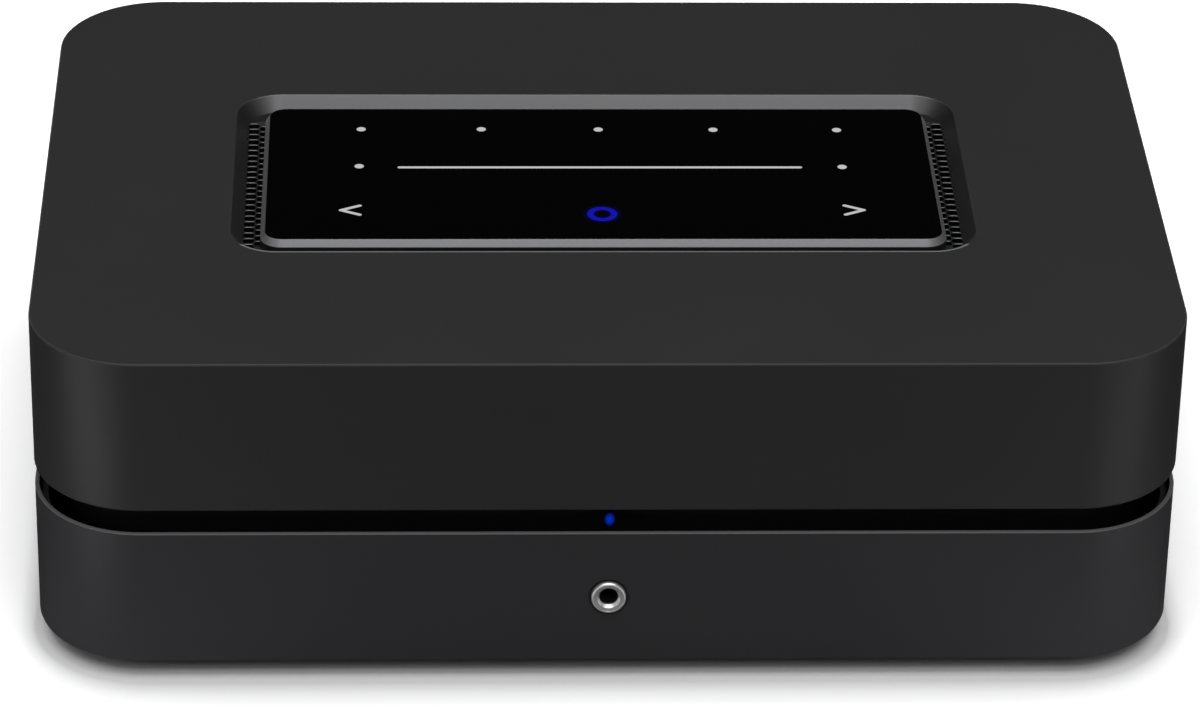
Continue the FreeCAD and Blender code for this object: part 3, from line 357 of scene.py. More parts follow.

# %% [markdown]
# ## Grey metal round the glass
# The frame round the glass is satin anodised aluminium, brushed along its length before it was
# anodised. A noise stretched along X draws that brushing, and varies the roughness with it. Its
# upright foot is painted black as shade, so that only the sloping face and the crest shine. The
# perforated strips beside it are blackened sheet metal.

# %% Anodised frame and blackened strips
BEZEL_SLOPE_FOOT = 68.42 * MM
anodised = Finish("satin_anodised_grey", (0.22, 0.22, 0.227), 0.4, Metallic=0.7)
brushing = anodised.noise(1500, 2, (0.03, 1.0, 1.0))
brushed = anodised.blend(brushing, (0.2, 0.2, 0.206), (0.24, 0.24, 0.247))
_, _, z = anodised.axes()
# The bezel's upright foot is painted black, a painted shade below its slope.
painted_foot_shade = z < BEZEL_SLOPE_FOOT
anodised.give("Base Color", anodised.blend(painted_foot_shade, brushed, grey(0.006)))
anodised.give("Metallic", 0.7 - 0.7 * painted_foot_shade)
anodised.give("Roughness", 0.42 + 0.1 * brushing)
anodised.bump(brushing, 0.00001, 0.15)
anodised.dress("glass_frame")

sheet = Finish("blackened_sheet", (0.12, 0.12, 0.122), 0.3, Metallic=1.0)
tint = sheet.noise(700, 3)
sheet.vary(tint, (0.09, 0.09, 0.091), (0.15, 0.15, 0.153), 0.24, 0.12)
sheet.bump(tint, 0.00002, 0.2)
sheet.dress("vent_mesh_left", "vent_mesh_right")
print("frame and strips dressed")

# %% [markdown]
# ## The blue status light
# A clear guide carries a blue lamp's light into the gap between the tiers. It is brightest in
# its middle and fades to its edge, so its glow is a ramp on the distance from its axis.

# %% Light guide
guide = Finish("blue_light_guide", (0.0, 0.001, 0.01), 0.4, Specular_IOR_Level=0.05)
low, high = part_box("status_light_pipe")
guide_z = (low.z + high.z) / 2
x, _, z = guide.axes()
off = x / ((high.x - low.x) / 2)
up = (z - guide_z) / ((high.z - low.z) / 2)
reach = (off * off + up * up).root()
guide.give("Emission Color", guide.blend(guide.spread(reach, 0.25, 0.95, 1.0, 0.0),
                                         (0.0, 0.0, 0.003), (0.0, 0.023, 0.43)))
guide.give("Emission Strength", 1.0)
guide.dress("status_light_pipe")
print("status light at", round(guide_z, 4))

# %% [markdown]
# ## Bright metals
# The headphone ring is turned and polished, so fine circles run round its axis. The inner
# sheets are zinc-plated, whose crystals show as faint patches. Terminals, pins and washers are
# plated in pale gold, screws are blackened, and the stand-offs are turned brass.

# %% Ring, zinc, contacts, screws and brass
CREST_RADIUS, LIP_RADIUS, TURNING_PITCH = 2.95 * MM, 2.25 * MM, 0.12 * MM
chrome = Finish("polished_ring", (0.5, 0.5, 0.505), 0.38, Metallic=1.0)
ring_low, ring_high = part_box("headphone_ring")
ring_z = (ring_low.z + ring_high.z) / 2
x, _, z = chrome.axes()
radius = (x * x + (z - ring_z) * (z - ring_z)).root()
turning = 0.5 + 0.5 * (radius * (2 * math.pi / TURNING_PITCH)).sine()
polish = (radius > CREST_RADIUS).larger(radius < LIP_RADIUS)
dished = chrome.blend(turning, (0.4, 0.4, 0.405), (0.56, 0.56, 0.565))
chrome.give("Roughness", 0.34 + 0.08 * turning + 0.06 * polish)
chrome.give("Base Color", chrome.blend(polish, dished, (0.95, 0.95, 0.955)))
chrome.bump(turning, 0.000004, 0.4)
chrome.dress("headphone_ring")

zinc = Finish("zinc_plate", (0.5, 0.51, 0.52), 0.38, Metallic=1.0)
crystal = zinc.node("ShaderNodeTexVoronoi", None,
                    {"Vector": zinc.place(), "Scale": 260}, "Color")
patch = zinc.node("ShaderNodeSeparateColor", None, {0: crystal}, 0)
zinc.vary(patch, (0.42, 0.43, 0.44), (0.58, 0.59, 0.6), 0.3, 0.16)
zinc.dress("mid_plate", "network_module")

contact = Finish("plated_contact", (0.62, 0.5, 0.27), 0.26, Metallic=1.0)
wipe = contact.noise(900, 3, (1.0, 0.15, 1.0))
contact.vary(wipe, (0.55, 0.43, 0.22), (0.72, 0.6, 0.35), 0.2, 0.16)
contact.dress("inlet_pins", "sub_out_socket", "terminal_posts", "post_nuts",
              "clamp_washer_1", "clamp_washer_2", "clamp_washer_3", "clamp_washer_4")

oxide = Finish("black_oxide", (0.03, 0.03, 0.032), 0.38, Metallic=0.85)
worn = oxide.noise(1200, 3)
oxide.vary(worn, (0.02, 0.02, 0.021), (0.06, 0.06, 0.062), 0.3, 0.2)
oxide.dress("housing_screws")

brass = Finish("turned_brass", (0.55, 0.38, 0.14), 0.3, Metallic=1.0)
lathe = brass.noise(2500, 1, (0.05, 0.05, 1.0))
brass.vary(lathe, (0.46, 0.31, 0.11), (0.64, 0.46, 0.19), 0.24, 0.14)
brass.dress("main_standoffs", "low_standoffs")
print("five metals")

# %% [markdown]
# ## Shielded sockets and the marked terminal plate
# The ethernet, USB and HDMI sockets are folded steel shields round a dark moulding. One mask,
# of the box that the moulding fills, tells the two apart on the same solid. The terminal plate
# is moulded like the sockets and printed with a plus or a minus over each post.

# %% Shields and terminal plate
shield = Finish("socket_shield", (0.5, 0.51, 0.52), 0.34, Metallic=1.0)


def within(finish, low, high):
    """1 inside a box between two corners, in millimetres, and 0 outside."""
    mask = 1.0
    for value, a, b in zip(finish.axes(), low, high):
        mask = (value > a * MM) * (value < b * MM) * mask
    return mask


SOCKET_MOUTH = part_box("usb_socket")[1].y / MM
ETHERNET_INSERT = ((-31.95, 40.0, 45.5), (-20.05, SOCKET_MOUTH - 0.25, 55.6))
USB_INSERT = ((-5.8, 40.0, 47.0), (5.8, SOCKET_MOUTH - 0.3, 49.7))
HDMI_INSERT = ((18.4, 40.0, 45.5), (29.6, SOCKET_MOUTH - 0.3, 47.1))
insert = within(shield, *ETHERNET_INSERT)
for box in (USB_INSERT, HDMI_INSERT):
    insert = insert.larger(within(shield, *box))
fold = shield.noise(420, 3)
plated = shield.blend(fold, (0.42, 0.43, 0.44), (0.58, 0.59, 0.6))
shield.give("Base Color", shield.blend(insert, plated, (0.014, 0.014, 0.015)))
shield.give("Metallic", 1 - insert)
shield.give("Roughness", 0.28 + 0.14 * fold)
shield.dress("ethernet_socket", "usb_socket", "hdmi_socket")

plate = Finish("marked_terminal_plate", (0.014, 0.014, 0.015), 0.42, Specular_IOR_Level=0.5)
flow = plate.noise(2200, 3)
plate_x, _, plate_z = plate.axes()
SIGN_HEIGHT, SIGN_HALF, SIGN_LINE = 31.3 * MM, 0.9 * MM, 0.18 * MM
PLUS_POSTS = (2, 4)
sign = None
for number in (1, 2, 3, 4):
    low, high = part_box("terminal_cap_%d" % number)
    off_x = abs(plate_x - (low.x + high.x) / 2)
    off_z = abs(plate_z - SIGN_HEIGHT)
    bar = (off_x < SIGN_HALF) * (off_z < SIGN_LINE)
    if number in PLUS_POSTS:
        bar = bar.larger((off_x < SIGN_LINE) * (off_z < SIGN_HALF))
    sign = bar if sign is None else sign.larger(bar)
moulded = plate.blend(flow, (0.011, 0.011, 0.012), (0.02, 0.02, 0.021))
plate.give("Base Color", plate.blend(sign, moulded, grey(0.55)))
plate.give("Roughness", 0.36 + 0.14 * flow)
plate.bump(flow, 0.00002, 0.3)
plate.dress("terminal_base")
print("sockets shielded, plate marked")

# %% [markdown]
# ## Red and black terminal caps
# The caps are moulded in a glossy plastic. Flow in the mould leaves the sheen slightly uneven,
# and fingers dull the ridges, so a noise lifts the roughness in places.

# %% Terminal caps
RED_CAPS = ("terminal_cap_2", "terminal_cap_4")
BLACK_CAPS = ("terminal_cap_1", "terminal_cap_3")
for name, dark, bright, caps in (
        ("red_cap", (0.32, 0.008, 0.008), (0.44, 0.014, 0.012), RED_CAPS),
        ("black_cap", (0.01, 0.01, 0.011), (0.02, 0.02, 0.021), BLACK_CAPS)):
    cap = Finish(name, bright, 0.28, Specular_IOR_Level=0.55)
    flow = cap.noise(350, 3)
    cap.vary(flow, dark, bright, 0.22, 0.18)
    cap.bump(flow, 0.00002, 0.2)
    cap.dress(*caps)
print("caps dressed")

# %% [markdown]
# ## Inside the case
# Little of the inside shows, but each piece is what it is. The boards have a green solder mask
# with copper tracks under it, the sinks are extruded and keep the die's lines, and the
# transformer has yellow tape over its winding and a dark ferrite core.

# %% Boards, sinks, ferrite, tape, copper, cans and film
board = Finish("solder_mask", (0.006, 0.05, 0.025), 0.3)
tracks = board.node("ShaderNodeTexBrick", {"offset": 0.37},
                    {"Vector": board.place(), "Scale": 130, "Mortar Size": 0.035,
                     "Color1": (0, 0, 0, 1), "Color2": (0, 0, 0, 1), "Mortar": (1, 1, 1, 1)})
weave = board.noise(1800, 2)
board.give("Base Color", board.blend(tracks, (0.005, 0.042, 0.02), (0.014, 0.1, 0.05)))
board.give("Roughness", 0.26 + 0.12 * weave)
board.bump(tracks, 0.00003, 0.5)
board.dress("touch_board", "status_light_board", "headphone_board", "main_board",
            "power_board", "amplifier_board")

sink = Finish("extruded_aluminium", (0.48, 0.48, 0.5), 0.36, Metallic=1.0)
die = sink.noise(1400, 1, (1.0, 0.02, 1.0))
sink.vary(die, (0.42, 0.42, 0.44), (0.55, 0.55, 0.57), 0.3, 0.16)
sink.dress("heat_sink", "processor_heat_sink")

ferrite = Finish("sintered_ferrite", (0.05, 0.05, 0.054), 0.6)
speck = ferrite.noise(1500, 4)
ferrite.vary(speck, (0.035, 0.035, 0.038), (0.075, 0.075, 0.08), 0.5, 0.25)
ferrite.bump(speck, 0.00003, 0.4)
ferrite.dress("transformer_core", "output_inductors")

TAPE_WIDTH, WIRE_PITCH, STRIP_PITCH = 4.0 * MM, 0.8 * MM, 3.0 * MM
tape = Finish("winding_tape", (0.72, 0.52, 0.06), 0.3)
_, along, _ = tape.axes()
turn = (along / TAPE_WIDTH).steps(0.5) * 2
tape.vary(turn, (0.6, 0.41, 0.04), (0.78, 0.58, 0.09), 0.24, 0.14)
tape.dress("transformer_winding")

copper = Finish("enamelled_copper", (0.5, 0.17, 0.06), 0.28, Metallic=0.9)
_, _, up = copper.axes()
wire = 0.5 + 0.5 * (up * (2 * math.pi / WIRE_PITCH)).sine()
copper.vary(wire, (0.3, 0.09, 0.03), (0.6, 0.22, 0.08), 0.2, 0.2)
copper.bump(wire, 0.0002, 0.8)
copper.dress("mains_choke")

sleeve = Finish("can_sleeve", (0.02, 0.02, 0.04), 0.3)
shrink = sleeve.noise(200, 3)
sleeve.vary(shrink, (0.014, 0.014, 0.03), (0.03, 0.03, 0.055), 0.24, 0.14)
sleeve.dress("bulk_capacitors")

film = Finish("printed_film", (0.7, 0.68, 0.6), 0.35)
_, _, z = film.axes()
trace = (z / STRIP_PITCH).steps(0.5) < 0.16
film.give("Base Color", film.blend(trace, (0.7, 0.68, 0.6), (0.5, 0.3, 0.12)))
film.give("Roughness", 0.3 + 0.1 * film.noise(800))
film.dress("antenna_left", "antenna_right", "ribbon_cable")
bare = [n for n, o in nodes.items() if not o.data.materials or
        o.data.materials[0].name not in finishes]
print("finishes", len(finishes), "nodes still bare", bare)

# %% [markdown]
# ## Helpers for modelling as by hand
# An operator acts on what is selected, and the loaded solids come in selected, so every piece
# starts from nothing selected. Faces and edges are then picked in code, by their place.

# %% Selecting, cutting and finishing
def clear_selection():
    """Leaves edit mode with nothing selected."""
    if bpy.context.mode != "OBJECT":
        bpy.ops.object.mode_set(mode="OBJECT")
    bpy.ops.object.select_all(action="DESELECT")


def only(*objects):
    """Selects just these objects, the first as the active one."""
    clear_selection()
    for o in objects:
        o.select_set(True)
    bpy.context.view_layer.objects.active = objects[0]


def pick(kind, test):
    """In edit mode, selects the faces, edges or corners whose middle passes a test."""
    bpy.ops.mesh.select_mode(type=kind)
    bpy.ops.mesh.select_all(action="DESELECT")
    bpy.ops.object.mode_set(mode="OBJECT")
    mesh = bpy.context.object.data
    if kind == "FACE":
        for face in mesh.polygons:
            face.select = test(face.center, face.normal)
    elif kind == "EDGE":
        for edge in mesh.edges:
            a, b = (mesh.vertices[i].co for i in edge.vertices)
            edge.select = test((a + b) / 2, (b - a).normalized())
    else:
        for corner in mesh.vertices:
            corner.select = test(corner.co, None)
    bpy.ops.object.mode_set(mode="EDIT")


def block(name, low, high, corner=0.0, segments=1):
    """A block between two corners, in millimetres, with its upright edges rounded."""
    size = [(b - a) * MM for a, b in zip(low, high)]
    middle = [(a + b) / 2 * MM for a, b in zip(low, high)]
    clear_selection()
    bpy.ops.mesh.primitive_cube_add(size=1, location=middle, scale=size)
    made = bpy.context.object
    made.name = name
    settle(made)
    if corner:
        bpy.ops.object.mode_set(mode="EDIT")
        pick("EDGE", lambda middle, way: abs(way.z) > 0.9)
        bpy.ops.mesh.bevel(offset=corner * MM, segments=segments, affect="EDGES")
        bpy.ops.object.mode_set(mode="OBJECT")
    return made


def settle(made):
    """Writes the object's place into its mesh, so that it sits at the origin."""
    only(made)
    bpy.ops.object.transform_apply(location=True, rotation=True, scale=True)


def modify(made, kind, **settings):
    """Adds a modifier with its settings and applies it."""
    only(made)
    modifier = made.modifiers.new(kind.lower(), kind)
    for key, value in settings.items():
        setattr(modifier, key, value)
    bpy.ops.object.modifier_apply(modifier=modifier.name)


def hand_over(made, body, slot, finish, *stands_for, smooth=30):
    """Smooths a finished piece, dresses it and says what it rides on and stands for.

    Normals weighted by area keep a large flat face flat beside a small rounded edge.
    """
    only(made)
    bpy.ops.object.shade_smooth_by_angle(angle=math.radians(smooth))
    modify(made, "WEIGHTED_NORMAL", keep_sharp=True)
    finish.dress(made)
    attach(made, body)
    if stands_for:
        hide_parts(*stands_for)
    print(made.name, len(made.data.polygons), "faces")


print("helpers ready")

# %% [markdown]
# ## Blocks with the amplifier's outline, and cutting one from another
# Both tiers share one outline, so a block drawn in from it gives a tier, its cavity or its
# step. A shell could be a plane with a thickness, but the walls, the rim and the floor all
# differ here, so each hollow is a block of its own that is cut away, as a mill would do it.

# %% Outline blocks and cutting
HALF_X, HALF_Y, CORNER = 110.0, 77.0, 21.0
WALL, RIM_WALL, RIM_STEP = 2.5, 0.8, 2.5
BAY_HALF, BAY_FRONT, BAY_BACK = 84.3, 55.0, 80.0


def tier_block(name, inset, z0, z1):
    """A block with the outline drawn in by an inset, between two levels."""
    half_x, half_y = HALF_X - inset, HALF_Y - inset
    return block(name, (-half_x, -half_y, z0), (half_x, half_y, z1), CORNER - inset, 24)


def round_edges(made, level, width, segments):
    """Bevels all the edges that lie at one level."""
    only(made)
    bpy.ops.object.mode_set(mode="EDIT")
    pick("EDGE", lambda middle, way: abs(middle.z / MM - level) < 0.01 and abs(way.z) < 0.1)
    bpy.ops.mesh.bevel(offset=width * MM, segments=segments, affect="EDGES")
    bpy.ops.object.mode_set(mode="OBJECT")


def carve(made, *cutters):
    """Cuts each cutter from a piece and throws the cutter away."""
    for cutter in cutters:
        modify(made, "BOOLEAN", operation="DIFFERENCE", solver="EXACT", object=cutter)
        bpy.data.objects.remove(cutter)


def bay_cutter(z0, z1):
    """A block where the connectors stand, between two levels."""
    return block("bay_cutter", (-BAY_HALF, BAY_FRONT, z0), (BAY_HALF, BAY_BACK, z1))


print("outline", 2 * HALF_X, "by", 2 * HALF_Y)

# %% [markdown]
# ## The upper tier
# The upper tier is a shell, open below, with the tapered well cut in its top. A narrow land
# runs round the well, then the wall slopes in. The cutter for it starts as a block above the
# top: its lower face is inset and lowered once for the land, once to break the edge, once for
# the wall. Its front side stands a millimetre further in than its back, as the photo shows.

# %% Upper tier
UPPER_LOW, UPPER_HIGH, UPPER_CEILING, BAY_TOP = 38.0, 70.0, 67.0, 61.0
LAND_X, LAND_Y, LAND_CORNER = 73.3, 34.4, 9.6
WELL_STEPS = ((0.6, 0.086), (0.12, 0.1), (1.98, 2.815))
WELL_FRONT_SHIFT = 1.0
TOP_ROUND, FOOT_ROUND = 0.42, 0.55
upper = tier_block("upper_tier", 0, UPPER_LOW, UPPER_HIGH)
round_edges(upper, UPPER_HIGH, TOP_ROUND, 3)
round_edges(upper, UPPER_LOW, FOOT_ROUND, 3)
well = block("well_cutter", (-LAND_X, -LAND_Y, UPPER_HIGH + 0.001),
             (LAND_X, LAND_Y, UPPER_HIGH + 2), LAND_CORNER, 20)
bpy.ops.object.mode_set(mode="EDIT")
pick("VERT", lambda corner, _: corner.y < 0)
bpy.ops.transform.translate(value=(0, WELL_FRONT_SHIFT * MM, 0))
pick("FACE", lambda middle, normal: normal.z < -0.9)
for inward, down in WELL_STEPS:
    bpy.ops.mesh.inset(thickness=inward * MM, depth=down * MM)
bpy.ops.mesh.extrude_region_move(TRANSFORM_OT_translate={"value": (0, 0, -2 * MM)})
bpy.ops.object.mode_set(mode="OBJECT")
carve(upper, tier_block("cavity", WALL, UPPER_LOW - 1, UPPER_CEILING),
      bay_cutter(UPPER_LOW - 1, BAY_TOP), well)
hand_over(upper, "housing", "shell_finish", coat, "upper_shell")

# %% [markdown]
# ## The lower tier
# The lower tier is a tray. Its rim is thinner than its wall, because the black core frame
# stands on a step inside it, and the rim's narrow top carries a painted highlight in the coat.
# The floor is a broad lip that the base plate is let into from below. The headphone hole is
# drilled from the front and countersunk.

# %% Lower tier
LOWER_LOW, LOWER_HIGH, LIP_TOP, PLATE_TOP = 4.2, 33.0, 8.2, 5.7
RIM_CHAMFER, BASE_ROUND = 0.16, 0.8
DRILL_RADIUS, DRILL_LENGTH = 3.5, 8.0
CONE_INNER, CONE_OUTER, CONE_DEPTH, CONE_SET = 3.45, 4.05, 0.6, 0.28
WINDOW_X, WINDOW_Y = 88.0, 55.0
RECESS_X, RECESS_Y, RECESS_CORNER = 100.3, 67.3, 11.3
lower = tier_block("lower_tier", 0, LOWER_LOW, LOWER_HIGH)
round_edges(lower, LOWER_HIGH, RIM_CHAMFER, 1)
round_edges(lower, LOWER_LOW, BASE_ROUND, 2)
clear_selection()
bpy.ops.mesh.primitive_cylinder_add(vertices=48, radius=DRILL_RADIUS * MM,
                                    depth=DRILL_LENGTH * MM,
                                    location=(0, -HALF_Y * MM, ring_z),
                                    rotation=(math.pi / 2, 0, 0))
drill = bpy.context.object
settle(drill)
clear_selection()
bpy.ops.mesh.primitive_cone_add(vertices=48, radius1=CONE_INNER * MM, radius2=CONE_OUTER * MM,
                                depth=CONE_DEPTH * MM,
                                location=(0, (CONE_SET - HALF_Y) * MM, ring_z),
                                rotation=(math.pi / 2, 0, 0))
countersink = bpy.context.object
settle(countersink)
carve(lower, tier_block("cavity", WALL, LIP_TOP, LOWER_HIGH + 1),
      tier_block("step", RIM_WALL, LOWER_HIGH - RIM_STEP, LOWER_HIGH + 2),
      block("window", (-WINDOW_X, -WINDOW_Y, LOWER_LOW - 1), (WINDOW_X, WINDOW_Y, LIP_TOP + 1)),
      block("recess", (-RECESS_X, -RECESS_Y, LOWER_LOW - 2), (RECESS_X, RECESS_Y, PLATE_TOP),
            RECESS_CORNER, 12),
      bay_cutter(LIP_TOP, LOWER_HIGH + 3), drill, countersink)
hand_over(lower, "housing", "shell_finish", coat, "lower_shell")

# %% [markdown]
# ## The bezel round the glass
# The bezel is a thin metal ring whose face slopes down and outwards from the glass. It could be
# a swept profile. An inset that also rises gives the same slope in one step, keeps the corners
# concentric, and needs only the block's top face.

# %% Bezel
frame_low, frame_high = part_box("glass_frame")
BEZEL_X, BEZEL_Y = frame_high.x / MM, frame_high.y / MM
BEZEL_FOOT, BEZEL_TOP = frame_low.z / MM, frame_high.z / MM
BEZEL_WIDTH, BEZEL_RISE, BEZEL_CORNER, BEZEL_EDGE = 0.95, 1.35, 4.2, 0.08
bezel = block("bezel_ring", (-BEZEL_X, -BEZEL_Y, BEZEL_FOOT),
              (BEZEL_X, BEZEL_Y, BEZEL_TOP - BEZEL_RISE), BEZEL_CORNER, 16)
bpy.ops.object.mode_set(mode="EDIT")
pick("FACE", lambda middle, normal: normal.z > 0.9)
bpy.ops.mesh.inset(thickness=BEZEL_WIDTH * MM, depth=BEZEL_RISE * MM)
bpy.ops.mesh.extrude_region_move(
    TRANSFORM_OT_translate={"value": (0, 0, (BEZEL_FOOT - BEZEL_TOP) * MM)})
bpy.ops.mesh.delete(type="FACE")
pick("FACE", lambda middle, normal: normal.z < -0.9)
bpy.ops.mesh.delete(type="ONLY_FACE")
bpy.ops.object.mode_set(mode="OBJECT")
only(bezel)
bpy.ops.object.mode_set(mode="EDIT")
bpy.ops.mesh.select_all(action="SELECT")
bpy.ops.mesh.remove_doubles(threshold=0.000001)
bpy.ops.mesh.select_all(action="DESELECT")
bpy.ops.mesh.select_mode(type="EDGE")
bpy.ops.mesh.select_non_manifold()
bpy.ops.mesh.bridge_edge_loops()
bpy.ops.mesh.select_all(action="SELECT")
bpy.ops.mesh.normals_make_consistent(inside=False)
bpy.ops.object.mode_set(mode="OBJECT")
modify(bezel, "BEVEL", width=BEZEL_EDGE * MM, segments=2, limit_method="ANGLE",
       angle_limit=math.radians(30))
hand_over(bezel, "housing", "panel_metal", anodised, "glass_frame")

# %% [markdown]
# ## The perforated strips
# Beside the bezel a punched strip lets warm air out. Its soft-cornered square holes stand in
# three staggered columns, and the bar between two holes is narrow and rounded, so it catches
# the light. One cutter is arrayed into a column, and one cut through the strip makes all the
# holes.

# %% Vent strips
HOLE_X, HOLE_Y, HOLE_CORNER = 1.02, 0.92, 0.5
HOLE_PITCH, HOLE_ROWS, BAR_ROUND = 2.32, 23, 0.17
COLUMNS = ((69.3, 0.0, HOLE_ROWS), (67.05, 0.5, HOLE_ROWS - 1), (71.55, 0.5, HOLE_ROWS - 1))
for side, node in ((1, "vent_mesh_right"), (-1, "vent_mesh_left")):
    low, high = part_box(node)
    strip = block(node.replace("mesh", "strip"), [v / MM for v in low],
                  [v / MM for v in high])
    cutters = []
    for x, shift, rows in COLUMNS:
        first = (shift - (HOLE_ROWS - 1) / 2) * HOLE_PITCH
        cutter = block("hole_cutter", (side * x - HOLE_X, first - HOLE_Y, low.z / MM - 2),
                       (side * x + HOLE_X, first + HOLE_Y, low.z / MM + 2), HOLE_CORNER, 2)
        modify(cutter, "ARRAY", count=rows, use_relative_offset=False,
               use_constant_offset=True, constant_offset_displace=(0, HOLE_PITCH * MM, 0))
        cutters.append(cutter)
    only(*cutters)
    bpy.ops.object.join()
    carve(strip, bpy.context.object)
    modify(strip, "BEVEL", width=BAR_ROUND * MM, segments=3, limit_method="ANGLE",
           angle_limit=math.radians(50))
    hand_over(strip, "housing", "vent_black", sheet, node, smooth=60)

# %% [markdown]
# ## The headphone ring
# The ring is turned from bar: a bright crest, a dished face, and a small lip round the hole. On
# a lathe that is one profile; here a disc is inset again and again, each step in or out by its
# own depth, and the last face is cut away to leave the hole open.

# %% Headphone ring
RING_RADIUS = (ring_high.x - ring_low.x) / 2 / MM
RING_STEPS = ((0.06, 0.2), (0.12, 0.16), (0.18, 0.1), (0.12, 0.0), (0.06, -0.06), (0.5, -0.12),
              (0.08, -0.02), (0.08, -0.1), (0.36, -0.6))
RING_BACK, RING_RISE = 1.1, 0.64
turned_back = ring_low.y + RING_BACK * MM
clear_selection()
bpy.ops.mesh.primitive_circle_add(vertices=64, radius=RING_RADIUS * MM, fill_type="NGON",
                                  location=(0, turned_back, ring_z),
                                  rotation=(math.pi / 2, 0, 0))
turned = bpy.context.object
turned.name = "turned_ring"
settle(turned)
bpy.ops.object.mode_set(mode="EDIT")
bpy.ops.mesh.select_mode(type="FACE")
bpy.ops.mesh.select_all(action="SELECT")
bpy.ops.mesh.extrude_region_move(TRANSFORM_OT_translate={"value": (0, -RING_RISE * MM, 0)})
for inward, out in RING_STEPS:
    bpy.ops.mesh.inset(thickness=inward * MM, depth=out * MM)
bpy.ops.mesh.delete(type="FACE")
pick("FACE", lambda middle, normal: abs(normal.y) > 0.99 and middle.y > turned_back - 0.01 * MM)
bpy.ops.mesh.delete(type="FACE")
bpy.ops.object.mode_set(mode="OBJECT")
hand_over(turned, "housing", "ring_chrome", chrome, "headphone_ring", smooth=24)

# %% [markdown]
# ## Springs in the ethernet socket
# Eight gold wires slope down from the roof of the socket's mouth. One is a thin bar whose inner
# end is moved down in edit mode, and an array repeats it across the mouth.

# %% Ethernet springs
SPRING_X, SPRING_PITCH, SPRING_TOP, SPRING_HALF = -29.55, 1.016, 55.3, 0.2
SPRING_INNER, SPRING_OUTER = SOCKET_MOUTH - 9.0, SOCKET_MOUTH - 1.6
SPRING_DROP = 3.2
spring = block("ethernet_springs",
               (SPRING_X - SPRING_HALF, SPRING_INNER, SPRING_TOP - 2 * SPRING_HALF),
               (SPRING_X + SPRING_HALF, SPRING_OUTER, SPRING_TOP))
bpy.ops.object.mode_set(mode="EDIT")
pick("VERT", lambda corner, _: corner.y / MM < SPRING_INNER + 0.1)
bpy.ops.transform.translate(value=(0, 0, -SPRING_DROP * MM))
bpy.ops.object.mode_set(mode="OBJECT")
modify(spring, "BEVEL", width=0.1 * MM, segments=2, limit_method="NONE")
modify(spring, "ARRAY", count=8, use_relative_offset=False, use_constant_offset=True,
       constant_offset_displace=(SPRING_PITCH * MM, 0, 0))
hand_over(spring, "housing", "contact_metal", contact, smooth=60)

# %% [markdown]
# ## Screws of the rear panel
# Six black pan-head screws hold the rear panel. The head is a disc, whose front face is drawn
# in and out again for the dome, and two crossed bars cut the driver's recess. It is modelled
# once, and each copy gets a mesh of its own.

# %% Panel screws
SCREW_RADIUS, SCREW_HEIGHT = 2.3, 0.9
DOME_STEPS = ((0.15, 0.12), (0.35, 0.14), (0.6, 0.08))
SLOT_LONG, SLOT_WIDE, SLOT_DEPTH, SLOT_ABOVE = 1.3, 0.25, 1.1, 0.5
PANEL_FACE = 57.0
SCREW_PLACES = ((-78.5, 12.6), (-78.5, 55.5), (-44.0, 55.5), (12.0, 55.5), (78.5, 55.5),
                (-3.0, 12.6))
first_x, first_z = SCREW_PLACES[0]
clear_selection()
bpy.ops.mesh.primitive_cylinder_add(
    vertices=32, radius=SCREW_RADIUS * MM, depth=SCREW_HEIGHT * MM,
    location=(first_x * MM, (PANEL_FACE + SCREW_HEIGHT / 2) * MM, first_z * MM),
    rotation=(math.pi / 2, 0, 0))
screw = bpy.context.object
screw.name = "panel_screw_1"
settle(screw)
bpy.ops.object.mode_set(mode="EDIT")
pick("FACE", lambda middle, normal: normal.y > 0.9)
for inward, out in DOME_STEPS:
    bpy.ops.mesh.inset(thickness=inward * MM, depth=out * MM)
bpy.ops.object.mode_set(mode="OBJECT")
top = PANEL_FACE + SCREW_HEIGHT + SLOT_ABOVE
carve(screw, *(block("slot", (first_x - wide, top - SLOT_DEPTH, first_z - tall),
                     (first_x + wide, top, first_z + tall))
               for wide, tall in ((SLOT_LONG, SLOT_WIDE), (SLOT_WIDE, SLOT_LONG))))
hand_over(screw, "housing", "dark_screws", oxide)
for number, (x, z) in enumerate(SCREW_PLACES[1:], 2):
    only(screw)
    bpy.ops.object.duplicate()
    copied = bpy.context.object
    copied.name = "panel_screw_%d" % number
    copied.location = ((x - first_x) * MM, 0, (z - first_z) * MM)
    settle(copied)
    hand_over(copied, "housing", "dark_screws", oxide)

# %% [markdown]
# ## The studio floor
# The amplifier stands on a wide pale sweep whose edge rises into a low wall, like a
# photographer's cove. One disc makes it: its rim is extruded outwards and upwards in steps.

# %% Floor and cove
FLOOR_REACH = 3.0
COVE_STEPS = ((0.3, 0.05), (0.25, 0.2), (0.1, 0.45), (0.05, 0.7))
bpy.ops.object.select_all(action="DESELECT")
bpy.ops.mesh.primitive_circle_add(vertices=96, radius=FLOOR_REACH, fill_type="NGON")
floor = bpy.context.object
floor.name = "studio_floor"
only(floor)
bpy.ops.object.mode_set(mode="EDIT")
bpy.ops.mesh.select_mode(type="EDGE")
bpy.ops.mesh.select_all(action="DESELECT")
bpy.ops.mesh.select_non_manifold()
for out, rise in COVE_STEPS:
    bpy.ops.mesh.extrude_edges_move(TRANSFORM_OT_translate={"value": (0, 0, rise)})
    grow = 1 + out / FLOOR_REACH
    bpy.ops.transform.resize(value=(grow, grow, 1))
bpy.ops.object.mode_set(mode="OBJECT")
bpy.ops.object.shade_smooth()
print("floor", len(floor.data.polygons), "faces")
